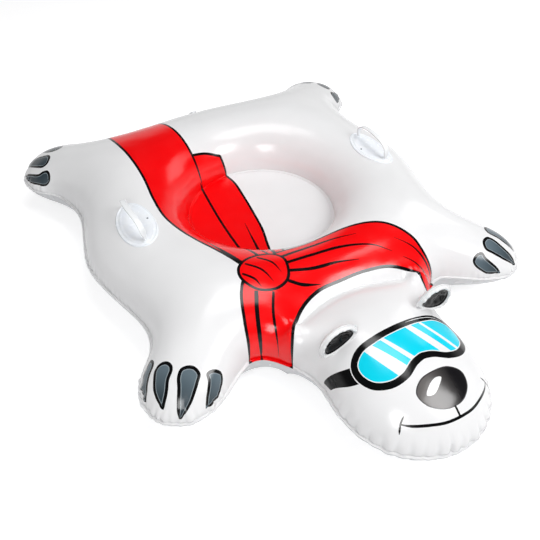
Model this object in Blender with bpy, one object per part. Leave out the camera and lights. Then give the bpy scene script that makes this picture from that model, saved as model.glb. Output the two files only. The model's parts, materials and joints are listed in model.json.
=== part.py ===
# Inflatable snow tube in the form of a sprawling polar bear. An upper and a lower film panel are welded
# together round the outline and round the seat, and inflate to a soft ring with a head and four paws.
# +Z is up and the head points along -Y. Left (+X) and right (-X) are the rider's, who faces the head.
# Places in plan are measured from the centre of the seat.

import math

import bmesh
import bpy
import numpy as np
from mathutils import Matrix, Vector
from mathutils.bvhtree import BVHTree
from mathutils.geometry import delaunay_2d_cdt

# Films, and the clearance between pieces that are welded or laid together
UPPER_FILM = 0.0008
LOWER_FILM = 0.0010
SEAT_FILM = 0.0008
EAR_FILM = 0.0006
GAP = 0.0003

# Body outline in plan
SEAT_RADIUS = 0.180
HEAD_CENTRE_Y = 0.568
HEAD_FRONT = 0.151
HEAD_HALF_WIDTH = 0.144
NECK_Y = 0.475
NECK_HALF_WIDTH = 0.148
ARCH_X = 0.222
ARCH_Y = 0.388
FRONT_PAW_X = 0.367
FRONT_PAW_Y = 0.379
FRONT_PAW_RADIUS = 0.076
WRIST_X = 0.389
WRIST_Y = 0.279
FRONT_WAIST_X = 0.377
FRONT_WAIST_Y = 0.224
BELLY_X = 0.428
REAR_WAIST_X = 0.398
REAR_WAIST_Y = 0.204
ANKLE_X = 0.426
ANKLE_Y = 0.306
REAR_PAW_X = 0.392
REAR_PAW_Y = 0.405
REAR_PAW_RADIUS = 0.093
TAIL_CORNER_X = 0.258
TAIL_CORNER_Y = 0.427
TAIL_Y = 0.448

# Inflated form. A puff share of 1 is film blown up to a full round section, and the pressed depth is
# how much of the fullest part of the underside the ground takes away.
BODY_PUFF_SHARE = 0.74
PRESSED_DEPTH = 0.030
OUTER_WELD = 0.006
SEAT_WELD = 0.008
SEAT_SAG = 0.010
SEAT_RING_SHARES = (1.0, 0.65, 0.3)

# Neck baffle, an inner strip that ties the two panels along the back of the head
NECK_VALLEY_BEHIND_NECK = 0.115
NECK_VALLEY_END_INSET = 0.027
NECK_VALLEY_HEIGHT = 0.050
NECK_VALLEY_STEPS = 16
BAFFLE_FILM = 0.0010

# Ears, each a small pad of two films that stands on the head
EAR_INSET = 0.043
EAR_BEHIND_HEAD_CENTRE = 0.090
EAR_HALF_WIDTH = 0.035
EAR_HEIGHT = 0.052
EAR_ROOT = 0.020
EAR_PUFF_SHARE = 0.46
EAR_WELD = 0.0025
EAR_LEAN_DEGREES = -2
EAR_ROLL_DEGREES = 26
EAR_TOE_DEGREES = -2
EAR_STEP = 0.0110
EAR_EDGE_STEP = 0.0075
EAR_RING_DEPTHS = (0.0012, 0.0045)

# Grab handles, each an arched strap on an oval patch
HANDLE_OUT_FROM_CREST = 0.008
HANDLE_Y = -0.010
PATCH_LENGTH = 0.150
PATCH_WIDTH = 0.076
PATCH_FILM = 0.0012
PATCH_CUT_DEPTH = 0.030
PATCH_STEPS = 40
GRIP_SPAN = 0.116
GRIP_RISE = 0.036
GRIP_WIDTH = 0.016
GRIP_THICKNESS = 0.0026
GRIP_CHAMFER = 0.0005
GRIP_FOOT_RADIUS = 0.0035
GRIP_FOOT_CLEARANCE = 0.0006
GRIP_TAPER = 0.018
GRIP_STEPS = 22
GRIP_FOOT_ANGLES = (75, 50, 25)

# Valve, pushed in flush on the rear of the upper panel, with a flap inside and a hinged stopper
VALVE_INSET = 0.034
FLANGE_RADIUS = 0.018
FLANGE_FILM = 0.0014
STEM_RADIUS = 0.008
STEM_INNER_LENGTH = 0.014
STEM_HEIGHT = 0.0036
BORE_RADIUS = 0.0045
LUG_WIDTH = 0.0060
LUG_THICKNESS = 0.0020
LUG_PAST_PIVOT = 0.0016
CAP_RADIUS = 0.010
CAP_THICKNESS = 0.0022
NECK_REACH = 0.003
NECK_END_RADIUS = 0.0011
NECK_WIDTH = 0.0050
PLUG_TAPER = 0.0011
PLUG_LENGTH = 0.005
FLAP_OVERLAP = 0.002
FLAP_THICKNESS = 0.0006
ROUND_STEPS = 32

# Mesh steps of the body panels
EDGE_STEP = 0.027
PANEL_STEP = 0.036
EDGE_RING_DEPTHS = (0.0030, 0.0120, 0.0280)
SEAT_STEPS = 48


# Places that follow from the sizes above
EAR_X = HEAD_HALF_WIDTH - EAR_INSET
EAR_Y = HEAD_CENTRE_Y - EAR_BEHIND_HEAD_CENTRE
HANDLE_X = (SEAT_RADIUS + BELLY_X) / 2 + HANDLE_OUT_FROM_CREST
VALVE_Y = TAIL_Y - VALVE_INSET
PIVOT_REACH = CAP_RADIUS + NECK_REACH
PIVOT_HEIGHT = NECK_END_RADIUS + GAP / 3
PLUG_ROOT_RADIUS = BORE_RADIUS - GAP
FLAP_RADIUS = BORE_RADIUS + FLAP_OVERLAP


def control_points():
    """Half of the body outline, from the tip of the head to the middle of the tail."""
    head = arc((0, -HEAD_CENTRE_Y), HEAD_HALF_WIDTH, HEAD_FRONT, -90, 0, 4)
    front_paw = arc((FRONT_PAW_X, -FRONT_PAW_Y), FRONT_PAW_RADIUS, FRONT_PAW_RADIUS, -125, 35, 4)
    rear_paw = arc((REAR_PAW_X, REAR_PAW_Y), REAR_PAW_RADIUS, REAR_PAW_RADIUS, -30, 115, 4)
    return (
        head
        + [(NECK_HALF_WIDTH, -NECK_Y), (ARCH_X, -ARCH_Y)]
        + front_paw
        + [(WRIST_X, -WRIST_Y), (FRONT_WAIST_X, -FRONT_WAIST_Y), (BELLY_X, 0)]
        + [(REAR_WAIST_X, REAR_WAIST_Y), (ANKLE_X, ANKLE_Y)]
        + rear_paw
        + [(TAIL_CORNER_X, TAIL_CORNER_Y), (0, TAIL_Y)]
    )


def arc(centre, radius_x, radius_y, start, end, steps):
    """Points on an ellipse, at equal angles in degrees."""
    angles = [math.radians(start + (end - start) * k / steps) for k in range(steps + 1)]
    return [(centre[0] + radius_x * math.cos(a), centre[1] + radius_y * math.sin(a)) for a in angles]


def spline(points, samples):
    """A centripetal Catmull-Rom curve through all but the first and last of the points."""
    points = np.array(points, float)
    curve = []
    for p0, p1, p2, p3 in zip(points, points[1:], points[2:], points[3:]):
        t1 = math.sqrt(np.linalg.norm(p1 - p0))
        t2 = t1 + math.sqrt(np.linalg.norm(p2 - p1))
        t3 = t2 + math.sqrt(np.linalg.norm(p3 - p2))
        for k in range(samples):
            t = t1 + (t2 - t1) * k / samples
            a1 = p0 + (p1 - p0) * t / t1
            a2 = p1 + (p2 - p1) * (t - t1) / (t2 - t1)
            a3 = p2 + (p3 - p2) * (t - t2) / (t3 - t2)
            b1 = a1 + (a2 - a1) * t / t2
            b2 = a2 + (a3 - a2) * (t - t1) / (t3 - t1)
            curve.append(b1 + (b2 - b1) * (t - t1) / (t2 - t1))
    curve.append(points[-2])
    return np.array(curve)


def evenly(curve, step):
    """The curve's points respaced at equal lengths near the step."""
    lengths = np.concatenate([[0], np.cumsum(np.linalg.norm(np.diff(curve, axis=0), axis=1))])
    count = max(2, round(lengths[-1] / step))
    places = np.linspace(0, lengths[-1], count + 1)
    return np.stack([np.interp(places, lengths, curve[:, axis]) for axis in (0, 1)], axis=1)


def body_outline():
    """The whole outline, counter-clockwise, with its two halves alike."""
    half = control_points()
    mirrored_ends = [(-half[1][0], half[1][1])] + half + [(-half[-2][0], half[-2][1])]
    right = evenly(spline(mirrored_ends, 16), EDGE_STEP)
    left = right[-2:0:-1] * (-1, 1)
    return np.concatenate([right, left])


def circle(radius, steps, clockwise=False):
    angles = np.arange(steps) * 2 * math.pi / steps
    if clockwise:
        angles = -angles
    return radius * np.stack([np.cos(angles), np.sin(angles)], axis=1)


def left_normals(loop):
    """Unit normals to the left of a closed loop's direction, which is the panel's side."""
    along = np.roll(loop, -1, axis=0) - np.roll(loop, 1, axis=0)
    normals = np.stack([-along[:, 1], along[:, 0]], axis=1)
    return normals / np.linalg.norm(normals, axis=1, keepdims=True)


def distance_to(points, line):
    """Each point's distance to an open line of points."""
    start, run = line[:-1], np.diff(line, axis=0)
    offset = points[:, None] - start[None]
    along = np.clip((offset * run).sum(axis=2) / (run * run).sum(axis=1), 0, 1)
    return np.linalg.norm(offset - along[..., None] * run, axis=2).min(axis=1)


def closed(loop):
    return np.concatenate([loop, loop[:1]])


def inside(points, loop):
    """Which points lie inside a closed loop, by counting the crossings to their right."""
    x, y = points[:, 0][:, None], points[:, 1][:, None]
    x1, y1 = loop[:, 0], loop[:, 1]
    x2, y2 = np.roll(x1, -1), np.roll(y1, -1)
    straddles = (y1 > y) != (y2 > y)
    rise = np.where(y2 == y1, 1, y2 - y1)
    crossing = x1 + (y - y1) * (x2 - x1) / rise
    return (straddles & (x < crossing)).sum(axis=1) % 2 == 1


def lattice(step, reach):
    """Points of an equilateral lattice, mirrored in X, that covers a square of that reach."""
    row_step = step * math.sin(math.radians(60))
    rows = int(reach / row_step)
    columns = int(reach / step)
    points = [
        ((column + row % 2 / 2) * step, row * row_step)
        for row in range(-rows, rows + 1)
        for column in range(-columns - row % 2, columns + 1)
    ]
    return np.array(points)


class Panel:
    """A flat panel, meshed with triangles, and the height to which air lifts it.

    loops run with the panel on their left: the outline first, then any hole. A valley is a line of points
    inside the panel that is tied down to a height of its own."""

    def __init__(self, loops, ring_depths, step, puff_share, valley=None, valley_height=0.0):
        self.loops = loops
        rings = [loop + left_normals(loop) * depth for loop in loops for depth in ring_depths]
        reach = 2 * np.abs(loops[0]).max()
        inner = lattice(step, reach)
        edges_clear = np.ones(len(inner), bool)
        for loop in loops:
            edges_clear &= distance_to(inner, closed(loop)) > ring_depths[-1] + step / 2
        inner = inner[edges_clear]
        free = np.concatenate(rings + [inner])
        free = free[self.contains(free)]
        for loop in loops:
            free = free[distance_to(free, closed(loop)) > ring_depths[0] / 2]
        if valley is not None:
            free = free[distance_to(free, valley) > step / 2]
        lines = [] if valley is None else [valley]
        points = np.concatenate(loops + lines + [free])
        edges, start = [], 0
        for loop in loops:
            edges += [(start + k, start + (k + 1) % len(loop)) for k in range(len(loop))]
            start += len(loop)
        self.edge_count = start
        for line in lines:
            edges += [(start + k, start + k + 1) for k in range(len(line) - 1)]
            start += len(line)
        self.valley_count = start - self.edge_count
        tolerance = ring_depths[0] / 100
        out = delaunay_2d_cdt([Vector(point) for point in points], edges, [], 0, tolerance)
        self.points = np.array([tuple(vertex) for vertex in out[0]])
        faces = np.array(out[2])
        middles = self.points[faces].mean(axis=1)
        faces = faces[self.contains(middles)]
        corners = self.points[faces]
        first, second = corners[:, 1] - corners[:, 0], corners[:, 2] - corners[:, 0]
        turned = first[:, 0] * second[:, 1] < first[:, 1] * second[:, 0]
        faces[turned] = faces[turned][:, ::-1]
        self.faces = faces
        self.heights = puff_share * self.inflated(valley_height / puff_share)

    def contains(self, points):
        found = inside(points, self.loops[0])
        for hole in self.loops[1:]:
            found &= ~inside(points, hole)
        return found

    def inflated(self, valley_height):
        """Height of the blown-up panel: the square root of a stretched membrane's bulge.

        It gives a long tube a round section and a disc a flatter one, as in welded film."""
        count = len(self.points)
        corners = self.points[self.faces]
        sides = corners[:, [2, 0, 1]] - corners[:, [1, 2, 0]]
        doubled = np.abs(sides[:, 0, 0] * sides[:, 1, 1] - sides[:, 0, 1] * sides[:, 1, 0])
        stiffness = np.zeros((count, count))
        load = np.zeros(count)
        for a in range(3):
            np.add.at(load, self.faces[:, a], doubled / 6)
            for b in range(3):
                share = (sides[:, a] * sides[:, b]).sum(axis=1) / (2 * doubled)
                np.add.at(stiffness, (self.faces[:, a], self.faces[:, b]), share)
        bulge = np.zeros(count)
        tied = slice(self.edge_count, self.edge_count + self.valley_count)
        bulge[tied] = valley_height**2 / 2
        held = np.arange(count) < self.edge_count + self.valley_count
        free = ~held
        load = load[free] - stiffness[np.ix_(free, held)] @ bulge[held]
        bulge[free] = np.linalg.solve(stiffness[np.ix_(free, free)], load)
        return np.sqrt(2 * np.maximum(bulge, 0))


class Skin:
    """The outer side of one blown-up panel, with the weld tabs along its loops, as points and faces.

    side is 1 for the upper half and -1 for the lower one, seam_offsets the height of each loop's tab.
    What would reach below the floor is pressed flat on it."""

    def __init__(self, panel, side, seam_offsets, tab_widths, floor=None):
        heights = panel.heights.copy()
        start = 0
        tabs, faces = [], [tuple(face) for face in panel.faces]
        next_tab = len(panel.points)
        for loop, offset, width in zip(panel.loops, seam_offsets, tab_widths):
            heights[start : start + len(loop)] = offset
            edge = loop - left_normals(loop) * width
            tabs += [(x, y, offset) for x, y in edge]
            for k in range(len(loop)):
                after = (k + 1) % len(loop)
                faces.append((next_tab + k, next_tab + after, start + after, start + k))
            start += len(loop)
            next_tab += len(loop)
        points = [(x, y, z) for (x, y), z in zip(panel.points, heights)] + tabs
        self.points = np.array(points) * (1, 1, side)
        if floor is not None:
            self.points[:, 2] = np.maximum(self.points[:, 2], floor)
        self.faces = faces if side > 0 else [face[::-1] for face in faces]

    def lifted(self, distance):
        """The skin's points moved outwards by a distance, square to the faces they join."""
        surface = bmesh.new()
        vertices = [surface.verts.new(point) for point in self.points]
        for face in self.faces:
            surface.faces.new([vertices[k] for k in face])
        surface.normal_update()
        moved = [v.co + v.normal * v.calc_shell_factor() * distance for v in surface.verts]
        surface.free()
        return np.array(moved)

    def faces_near(self, place, reach):
        """The faces whose middle lies within reach of a place in plan."""
        middles = [self.points[list(face)].mean(axis=0)[:2] for face in self.faces]
        return [face for face, middle in zip(self.faces, middles) if math.dist(middle, place) < reach]

    def hit(self, distance, place):
        """Where a plumb line through a place in plan meets the lifted skin, and the normal there."""
        points = self.lifted(distance)
        tree = BVHTree.FromPolygons([Vector(point) for point in points], self.faces)
        start = Vector((place[0], place[1], 2 * points[:, 2].max()))
        found, normal, _, _ = tree.ray_cast(start, Vector((0, 0, -1)))
        return found, normal


def slab(top, bottom, faces):
    """A closed mesh between two like sets of points that the same faces join."""
    forward = {(face[k - 1], face[k]) for face in faces for k in range(len(face))}
    rim = [(a, b) for a, b in forward if (b, a) not in forward]
    used = sorted({index for face in faces for index in face})
    mesh = bmesh.new()
    upper = {index: mesh.verts.new(top[index]) for index in used}
    lower = {index: mesh.verts.new(bottom[index]) for index in used}
    for face in faces:
        mesh.faces.new([upper[index] for index in face])
        mesh.faces.new([lower[index] for index in reversed(face)])
    for a, b in sorted(rim):
        mesh.faces.new([upper[b], upper[a], lower[a], lower[b]])
    return mesh


def film(skin, thickness):
    """A closed film whose outer side is the skin."""
    return slab(skin.points, skin.lifted(-thickness), skin.faces)


def laid_on(skin, thickness, place, reach):
    """A closed film that lies on the skin around a place, just clear of it."""
    return slab(skin.lifted(GAP + thickness), skin.lifted(GAP), skin.faces_near(place, reach))


def round_bar(radius, low, high, tip_radius=None):
    """A closed cylinder or cone along Z."""
    mesh = bmesh.new()
    turn = Matrix.Translation((0, 0, (low + high) / 2))
    low_radius = radius if tip_radius is None else tip_radius
    bmesh.ops.create_cone(
        mesh,
        cap_ends=True,
        segments=ROUND_STEPS,
        radius1=low_radius,
        radius2=radius,
        depth=high - low,
        matrix=turn,
    )
    return mesh


def block(low, high):
    """A closed box between two corners."""
    mesh = bmesh.new()
    low, high = Vector(low), Vector(high)
    size = Matrix.Diagonal((*(high - low), 1))
    bmesh.ops.create_cube(mesh, size=1, matrix=Matrix.Translation((low + high) / 2) @ size)
    return mesh


def look(name, colour, roughness, alpha=1.0):
    """A plain coloured vinyl."""
    material = bpy.data.materials.new(name)
    material.use_nodes = True
    shader = material.node_tree.nodes["Principled BSDF"]
    shader.inputs["Base Color"].default_value = (*colour, 1)
    shader.inputs["Roughness"].default_value = roughness
    shader.inputs["Alpha"].default_value = alpha
    return material


def add_piece(name, mesh, parent, matrix=Matrix(), material=None):
    """Adds a closed mesh as an object. One with no material is a cutter and stays hidden."""
    data = bpy.data.meshes.new(name)
    mesh.to_mesh(data)
    mesh.free()
    thing = bpy.data.objects.new(name, data)
    bpy.context.scene.collection.objects.link(thing)
    thing.parent = parent
    thing.matrix_basis = matrix
    if material is None:
        thing.hide_render = True
        thing.display_type = "WIRE"
    else:
        data.materials.append(material)
    return thing


def combine(thing, operation, other):
    modifier = thing.modifiers.new(f"{operation.lower()} {other.name}", "BOOLEAN")
    modifier.operation = operation
    modifier.object = other
    modifier.solver = "EXACT"


def frame_at(origin, along_x, along_z):
    """A matrix with that origin, Z along along_z and X as near along_x as it can be."""
    up = along_z.normalized()
    side = up.cross(along_x).normalized()
    across = side.cross(up)
    turn = Matrix((across, side, up)).transposed().to_4x4()
    return Matrix.Translation(origin) @ turn


def seat_mesh():
    """The seat's disc of film, flat under the weld and hanging a little inside it."""
    flat_share = 1 - SEAT_WELD / SEAT_RADIUS
    shares = [1] + [flat_share * share for share in SEAT_RING_SHARES]
    radius = SEAT_RADIUS - 3 * GAP
    points, faces = [], []
    for share in shares:
        z = -SEAT_SAG * max(0, 1 - (share / flat_share) ** 2)
        points += [(x, y, z) for x, y in circle(radius * share, SEAT_STEPS)]
    for ring in range(len(shares) - 1):
        outer, inner = ring * SEAT_STEPS, (ring + 1) * SEAT_STEPS
        for k in range(SEAT_STEPS):
            after = (k + 1) % SEAT_STEPS
            faces.append((outer + k, outer + after, inner + after, inner + k))
    last = (len(shares) - 1) * SEAT_STEPS
    faces += [(last + k, last + (k + 1) % SEAT_STEPS, len(points)) for k in range(SEAT_STEPS)]
    points.append((0, 0, -SEAT_SAG))
    points = np.array(points)
    half = np.array((0, 0, SEAT_FILM / 2))
    return slab(points + half, points - half, faces)


def valley_line():
    """The bow in plan along which the baffle ties the panels, from right to left of the rider.

    Each end lies inside the outline, level with the middle of the stretch from the neck to the arch."""
    neck, arch = Vector((NECK_HALF_WIDTH, -NECK_Y)), Vector((ARCH_X, -ARCH_Y))
    inward = (arch - neck).orthogonal().normalized() * NECK_VALLEY_END_INSET
    end = (neck + arch) / 2 + inward
    middle_y = NECK_VALLEY_BEHIND_NECK - NECK_Y
    across = np.linspace(-1, 1, NECK_VALLEY_STEPS + 1)
    return np.stack([across * end.x, middle_y + (end.y - middle_y) * across**2], axis=1)


def baffle_mesh(panel, upper, lower):
    """A strip of film on edge between the two panels, a step short of the tied line at each end."""
    tied = slice(panel.edge_count + 1, panel.edge_count + panel.valley_count - 1)
    line = panel.points[tied]
    clearance = GAP + BAFFLE_FILM / 2
    top = upper.lifted(-UPPER_FILM)[tied, 2] - clearance
    bottom = lower.lifted(-LOWER_FILM)[tied, 2] + clearance
    run = np.gradient(line, axis=0)
    normals = np.stack([-run[:, 1], run[:, 0]], axis=1)
    half = normals / np.linalg.norm(normals, axis=1, keepdims=True) * BAFFLE_FILM / 2
    count = len(line)
    front = np.column_stack([np.tile(line - half, (2, 1)), np.concatenate([bottom, top])])
    back = np.column_stack([np.tile(line + half, (2, 1)), np.concatenate([bottom, top])])
    faces = [(k, k + 1, count + k + 1, count + k) for k in range(count - 1)]
    return slab(front, back, faces)


def ear_outline():
    """An upright oval with a straight root that reaches below the head's skin."""
    over = arc((0, 0), EAR_HALF_WIDTH, EAR_HEIGHT, 0, 180, 24)
    corners = [(-EAR_HALF_WIDTH, -EAR_ROOT), (EAR_HALF_WIDTH, -EAR_ROOT)]
    ends = ((over[-1], corners[0]), corners, (corners[1], over[0]))
    sides = [evenly(np.array(pair, float), EAR_EDGE_STEP) for pair in ends]
    arch = evenly(np.array(over), EAR_EDGE_STEP)
    return np.concatenate([arch[:-1]] + [side[:-1] for side in sides])


def ear_frame(head, side):
    """Where an ear stands: X across it, Y up it and Z out of its front."""
    root, _ = head.hit(0, (side * EAR_X, -EAR_Y))
    toe = Matrix.Rotation(math.radians(side * EAR_TOE_DEGREES), 4, "Z")
    lean = Matrix.Rotation(math.radians(90 - EAR_LEAN_DEGREES), 4, "X")
    roll = Matrix.Rotation(math.radians(-side * EAR_ROLL_DEGREES), 4, "Z")
    return Matrix.Translation(root) @ toe @ lean @ roll


def ears(head, below_head, parent, front_look, back_look):
    panel = Panel([ear_outline()], EAR_RING_DEPTHS, EAR_STEP, EAR_PUFF_SHARE)
    offset = GAP / 2 + EAR_FILM
    for name, side in (("ear_left", 1), ("ear_right", -1)):
        matrix = ear_frame(head, side)
        for half, facing, colour in (("front", 1, front_look), ("back", -1, back_look)):
            skin = Skin(panel, facing, (offset,), (EAR_WELD,))
            pad = add_piece(f"{name}_{half}", film(skin, EAR_FILM), parent, matrix, colour)
            combine(pad, "DIFFERENCE", below_head)


def grip_mesh():
    """An arched strap that narrows to a round foot at each end. Both feet turn about Y."""
    sections = []
    half_span = GRIP_SPAN / 2
    for angle in GRIP_FOOT_ANGLES:
        down, across = math.sin(math.radians(angle)), math.cos(math.radians(angle))
        sections.append((-half_span, -GRIP_FOOT_RADIUS * down, 0, 1, GRIP_FOOT_RADIUS * across))
    angles = [math.pi * k / GRIP_STEPS for k in range(GRIP_STEPS + 1)]
    arch = [(-half_span * math.cos(a), GRIP_RISE * math.sin(a)) for a in angles]
    steps = [0] + [math.dist(a, b) for a, b in zip(arch, arch[1:])]
    lengths = np.cumsum(steps)
    for (y, z), angle, length in zip(arch, angles, lengths):
        run_y, run_z = half_span * math.sin(angle), GRIP_RISE * math.cos(angle)
        size = math.hypot(run_y, run_z)
        share = min(1, min(length, lengths[-1] - length) / GRIP_TAPER)
        share = share * share * (3 - 2 * share)
        half_width = GRIP_FOOT_RADIUS + (GRIP_WIDTH / 2 - GRIP_FOOT_RADIUS) * share
        sections.append((y, z, run_y / size, run_z / size, half_width))
    for angle in reversed(GRIP_FOOT_ANGLES):
        down, across = math.sin(math.radians(angle)), math.cos(math.radians(angle))
        sections.append((half_span, -GRIP_FOOT_RADIUS * down, 0, -1, GRIP_FOOT_RADIUS * across))
    mesh = bmesh.new()
    rings = []
    for y, z, run_y, run_z, half_width in sections:
        half = GRIP_THICKNESS / 2
        cut = min(GRIP_CHAMFER, half_width / 2)
        wide, deep = half_width - cut, half - cut
        ring = [
            (half_width, deep),
            (wide, half),
            (-wide, half),
            (-half_width, deep),
            (-half_width, -deep),
            (-wide, -half),
            (wide, -half),
            (half_width, -deep),
        ]
        rings.append([mesh.verts.new((x, y - run_z * out, z + run_y * out)) for x, out in ring])
    for first, second in zip(rings, rings[1:]):
        for k in range(len(first)):
            mesh.faces.new([first[k - 1], first[k], second[k], second[k - 1]])
    mesh.faces.new(rings[0])
    mesh.faces.new(rings[-1][::-1])
    bmesh.ops.recalc_face_normals(mesh, faces=mesh.faces)
    return mesh


def handle(name, side, body, parent, patch_look, grip_look):
    """An oval patch on the tube's crest and the strap whose feet stand on it."""
    half_span = GRIP_SPAN / 2
    rest = GAP + PATCH_FILM
    front, front_normal = body.hit(rest, (side * HANDLE_X, HANDLE_Y - half_span))
    rear, rear_normal = body.hit(rest, (side * HANDLE_X, HANDLE_Y + half_span))
    axis = (rear - front).normalized()
    up = front_normal + rear_normal
    up = (up - axis * up.dot(axis)).normalized()
    middle = (front + rear) / 2 + up * (GRIP_FOOT_RADIUS + GRIP_FOOT_CLEARANCE)
    matrix = frame_at(middle, axis.cross(up), up)
    here = (side * HANDLE_X, HANDLE_Y)
    patch = add_piece(
        f"{name}_patch", laid_on(body, PATCH_FILM, here, PATCH_LENGTH), parent, Matrix(), patch_look
    )
    oval = bmesh.new()
    size = Matrix.Diagonal((PATCH_WIDTH / 2, PATCH_LENGTH / 2, 1, 1))
    bmesh.ops.create_cone(
        oval,
        cap_ends=True,
        segments=PATCH_STEPS,
        radius1=1,
        radius2=1,
        depth=2 * PATCH_CUT_DEPTH,
        matrix=size,
    )
    combine(patch, "INTERSECT", add_piece(f"{name}_oval", oval, parent, matrix))
    grip = add_piece(f"{name}_grip", grip_mesh(), parent, matrix, grip_look)
    return grip


def valve_frame(body):
    """On the skin, Z out of it and X down the slope."""
    root, _ = body.hit(0, (0, VALVE_Y))
    _, above = body.hit(0, (0, VALVE_Y - FLANGE_RADIUS))
    _, below = body.hit(0, (0, VALVE_Y + FLANGE_RADIUS / 2))
    normal = (above.normalized() + below.normalized()).normalized()
    normal.x = 0
    return frame_at(root, Vector((0, 0, -1)), normal)


def valve(body, shell, parent, base_look, stopper_look, flap_look):
    """The stem on its flange, the flap at its inner end and the stopper in its mouth."""
    matrix = valve_frame(body)
    root = matrix.translation
    base = add_piece(
        "valve_base",
        laid_on(body, FLANGE_FILM, (root.x, root.y), 5 * FLANGE_RADIUS),
        parent,
        Matrix(),
        base_look,
    )
    reach = 2 * FLANGE_RADIUS
    rim = add_piece("flange_rim", round_bar(FLANGE_RADIUS, -reach, reach), parent, matrix)
    combine(base, "INTERSECT", rim)
    stem = add_piece("stem", round_bar(STEM_RADIUS, -STEM_INNER_LENGTH, STEM_HEIGHT), parent, matrix)
    combine(base, "UNION", stem)
    lug_top = STEM_HEIGHT + PIVOT_HEIGHT - NECK_END_RADIUS - GAP
    lug_low = (BORE_RADIUS + GAP, -LUG_WIDTH / 2, lug_top - LUG_THICKNESS)
    lug_high = (PIVOT_REACH + LUG_PAST_PIVOT, LUG_WIDTH / 2, lug_top)
    lug = add_piece("stem_lug", block(lug_low, lug_high), parent, matrix)
    combine(base, "UNION", lug)
    bore = add_piece("stem_bore", round_bar(BORE_RADIUS, -reach, reach), parent, matrix)
    combine(base, "DIFFERENCE", bore)
    hole = add_piece("shell_hole", round_bar(STEM_RADIUS + GAP, -reach, reach), parent, matrix)
    combine(shell, "DIFFERENCE", hole)

    pivot = Matrix.Translation((PIVOT_REACH, 0, STEM_HEIGHT + PIVOT_HEIGHT))
    cap_low = GAP - PIVOT_HEIGHT
    cap_high = cap_low + CAP_THICKNESS
    stopper = add_piece(
        "valve_stopper", round_bar(CAP_RADIUS, cap_low, cap_high), parent, matrix @ pivot, stopper_look
    )
    for vertex in stopper.data.vertices:
        vertex.co.x -= PIVOT_REACH
    neck = add_piece("stopper_neck", stopper_neck(), parent, matrix @ pivot)
    combine(stopper, "UNION", neck)
    plug_low = cap_low - PLUG_LENGTH
    plug_mesh = round_bar(PLUG_ROOT_RADIUS, plug_low, cap_high - GAP, PLUG_ROOT_RADIUS - PLUG_TAPER)
    to_axis = Matrix.Translation((-PIVOT_REACH, 0, 0))
    plug = add_piece("stopper_plug", plug_mesh, parent, matrix @ pivot @ to_axis)
    combine(stopper, "UNION", plug)

    hinge = Matrix.Translation((-FLAP_RADIUS, 0, -STEM_INNER_LENGTH - GAP - FLAP_THICKNESS / 2))
    flap_mesh = round_bar(FLAP_RADIUS, -FLAP_THICKNESS / 2, FLAP_THICKNESS / 2)
    bmesh.ops.translate(flap_mesh, verts=flap_mesh.verts, vec=(FLAP_RADIUS, 0, 0))
    flap = add_piece("valve_flap", flap_mesh, parent, matrix @ hinge, flap_look)
    return stopper, flap


def stopper_neck():
    """The flat strip that joins the cap to its pivot, with a round end."""
    angles = [math.radians(-90 + 180 * k / 8) for k in range(9)]
    side = [(NECK_END_RADIUS * math.cos(a), NECK_END_RADIUS * math.sin(a)) for a in angles]
    back = -(PIVOT_REACH - PLUG_ROOT_RADIUS)
    low = GAP - PIVOT_HEIGHT
    high = low + CAP_THICKNESS - GAP
    side += [(0, high), (back, high), (back, low), (0, low)]
    side = [point for k, point in enumerate(side) if k == 0 or math.dist(point, side[k - 1]) > GAP / 3]
    points = np.array([(x, 0, z) for x, z in side])
    half = np.array((0, NECK_WIDTH / 2, 0))
    mesh = slab(points - half, points + half, [tuple(range(len(side)))])
    bmesh.ops.recalc_face_normals(mesh, faces=mesh.faces)
    return mesh


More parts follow.
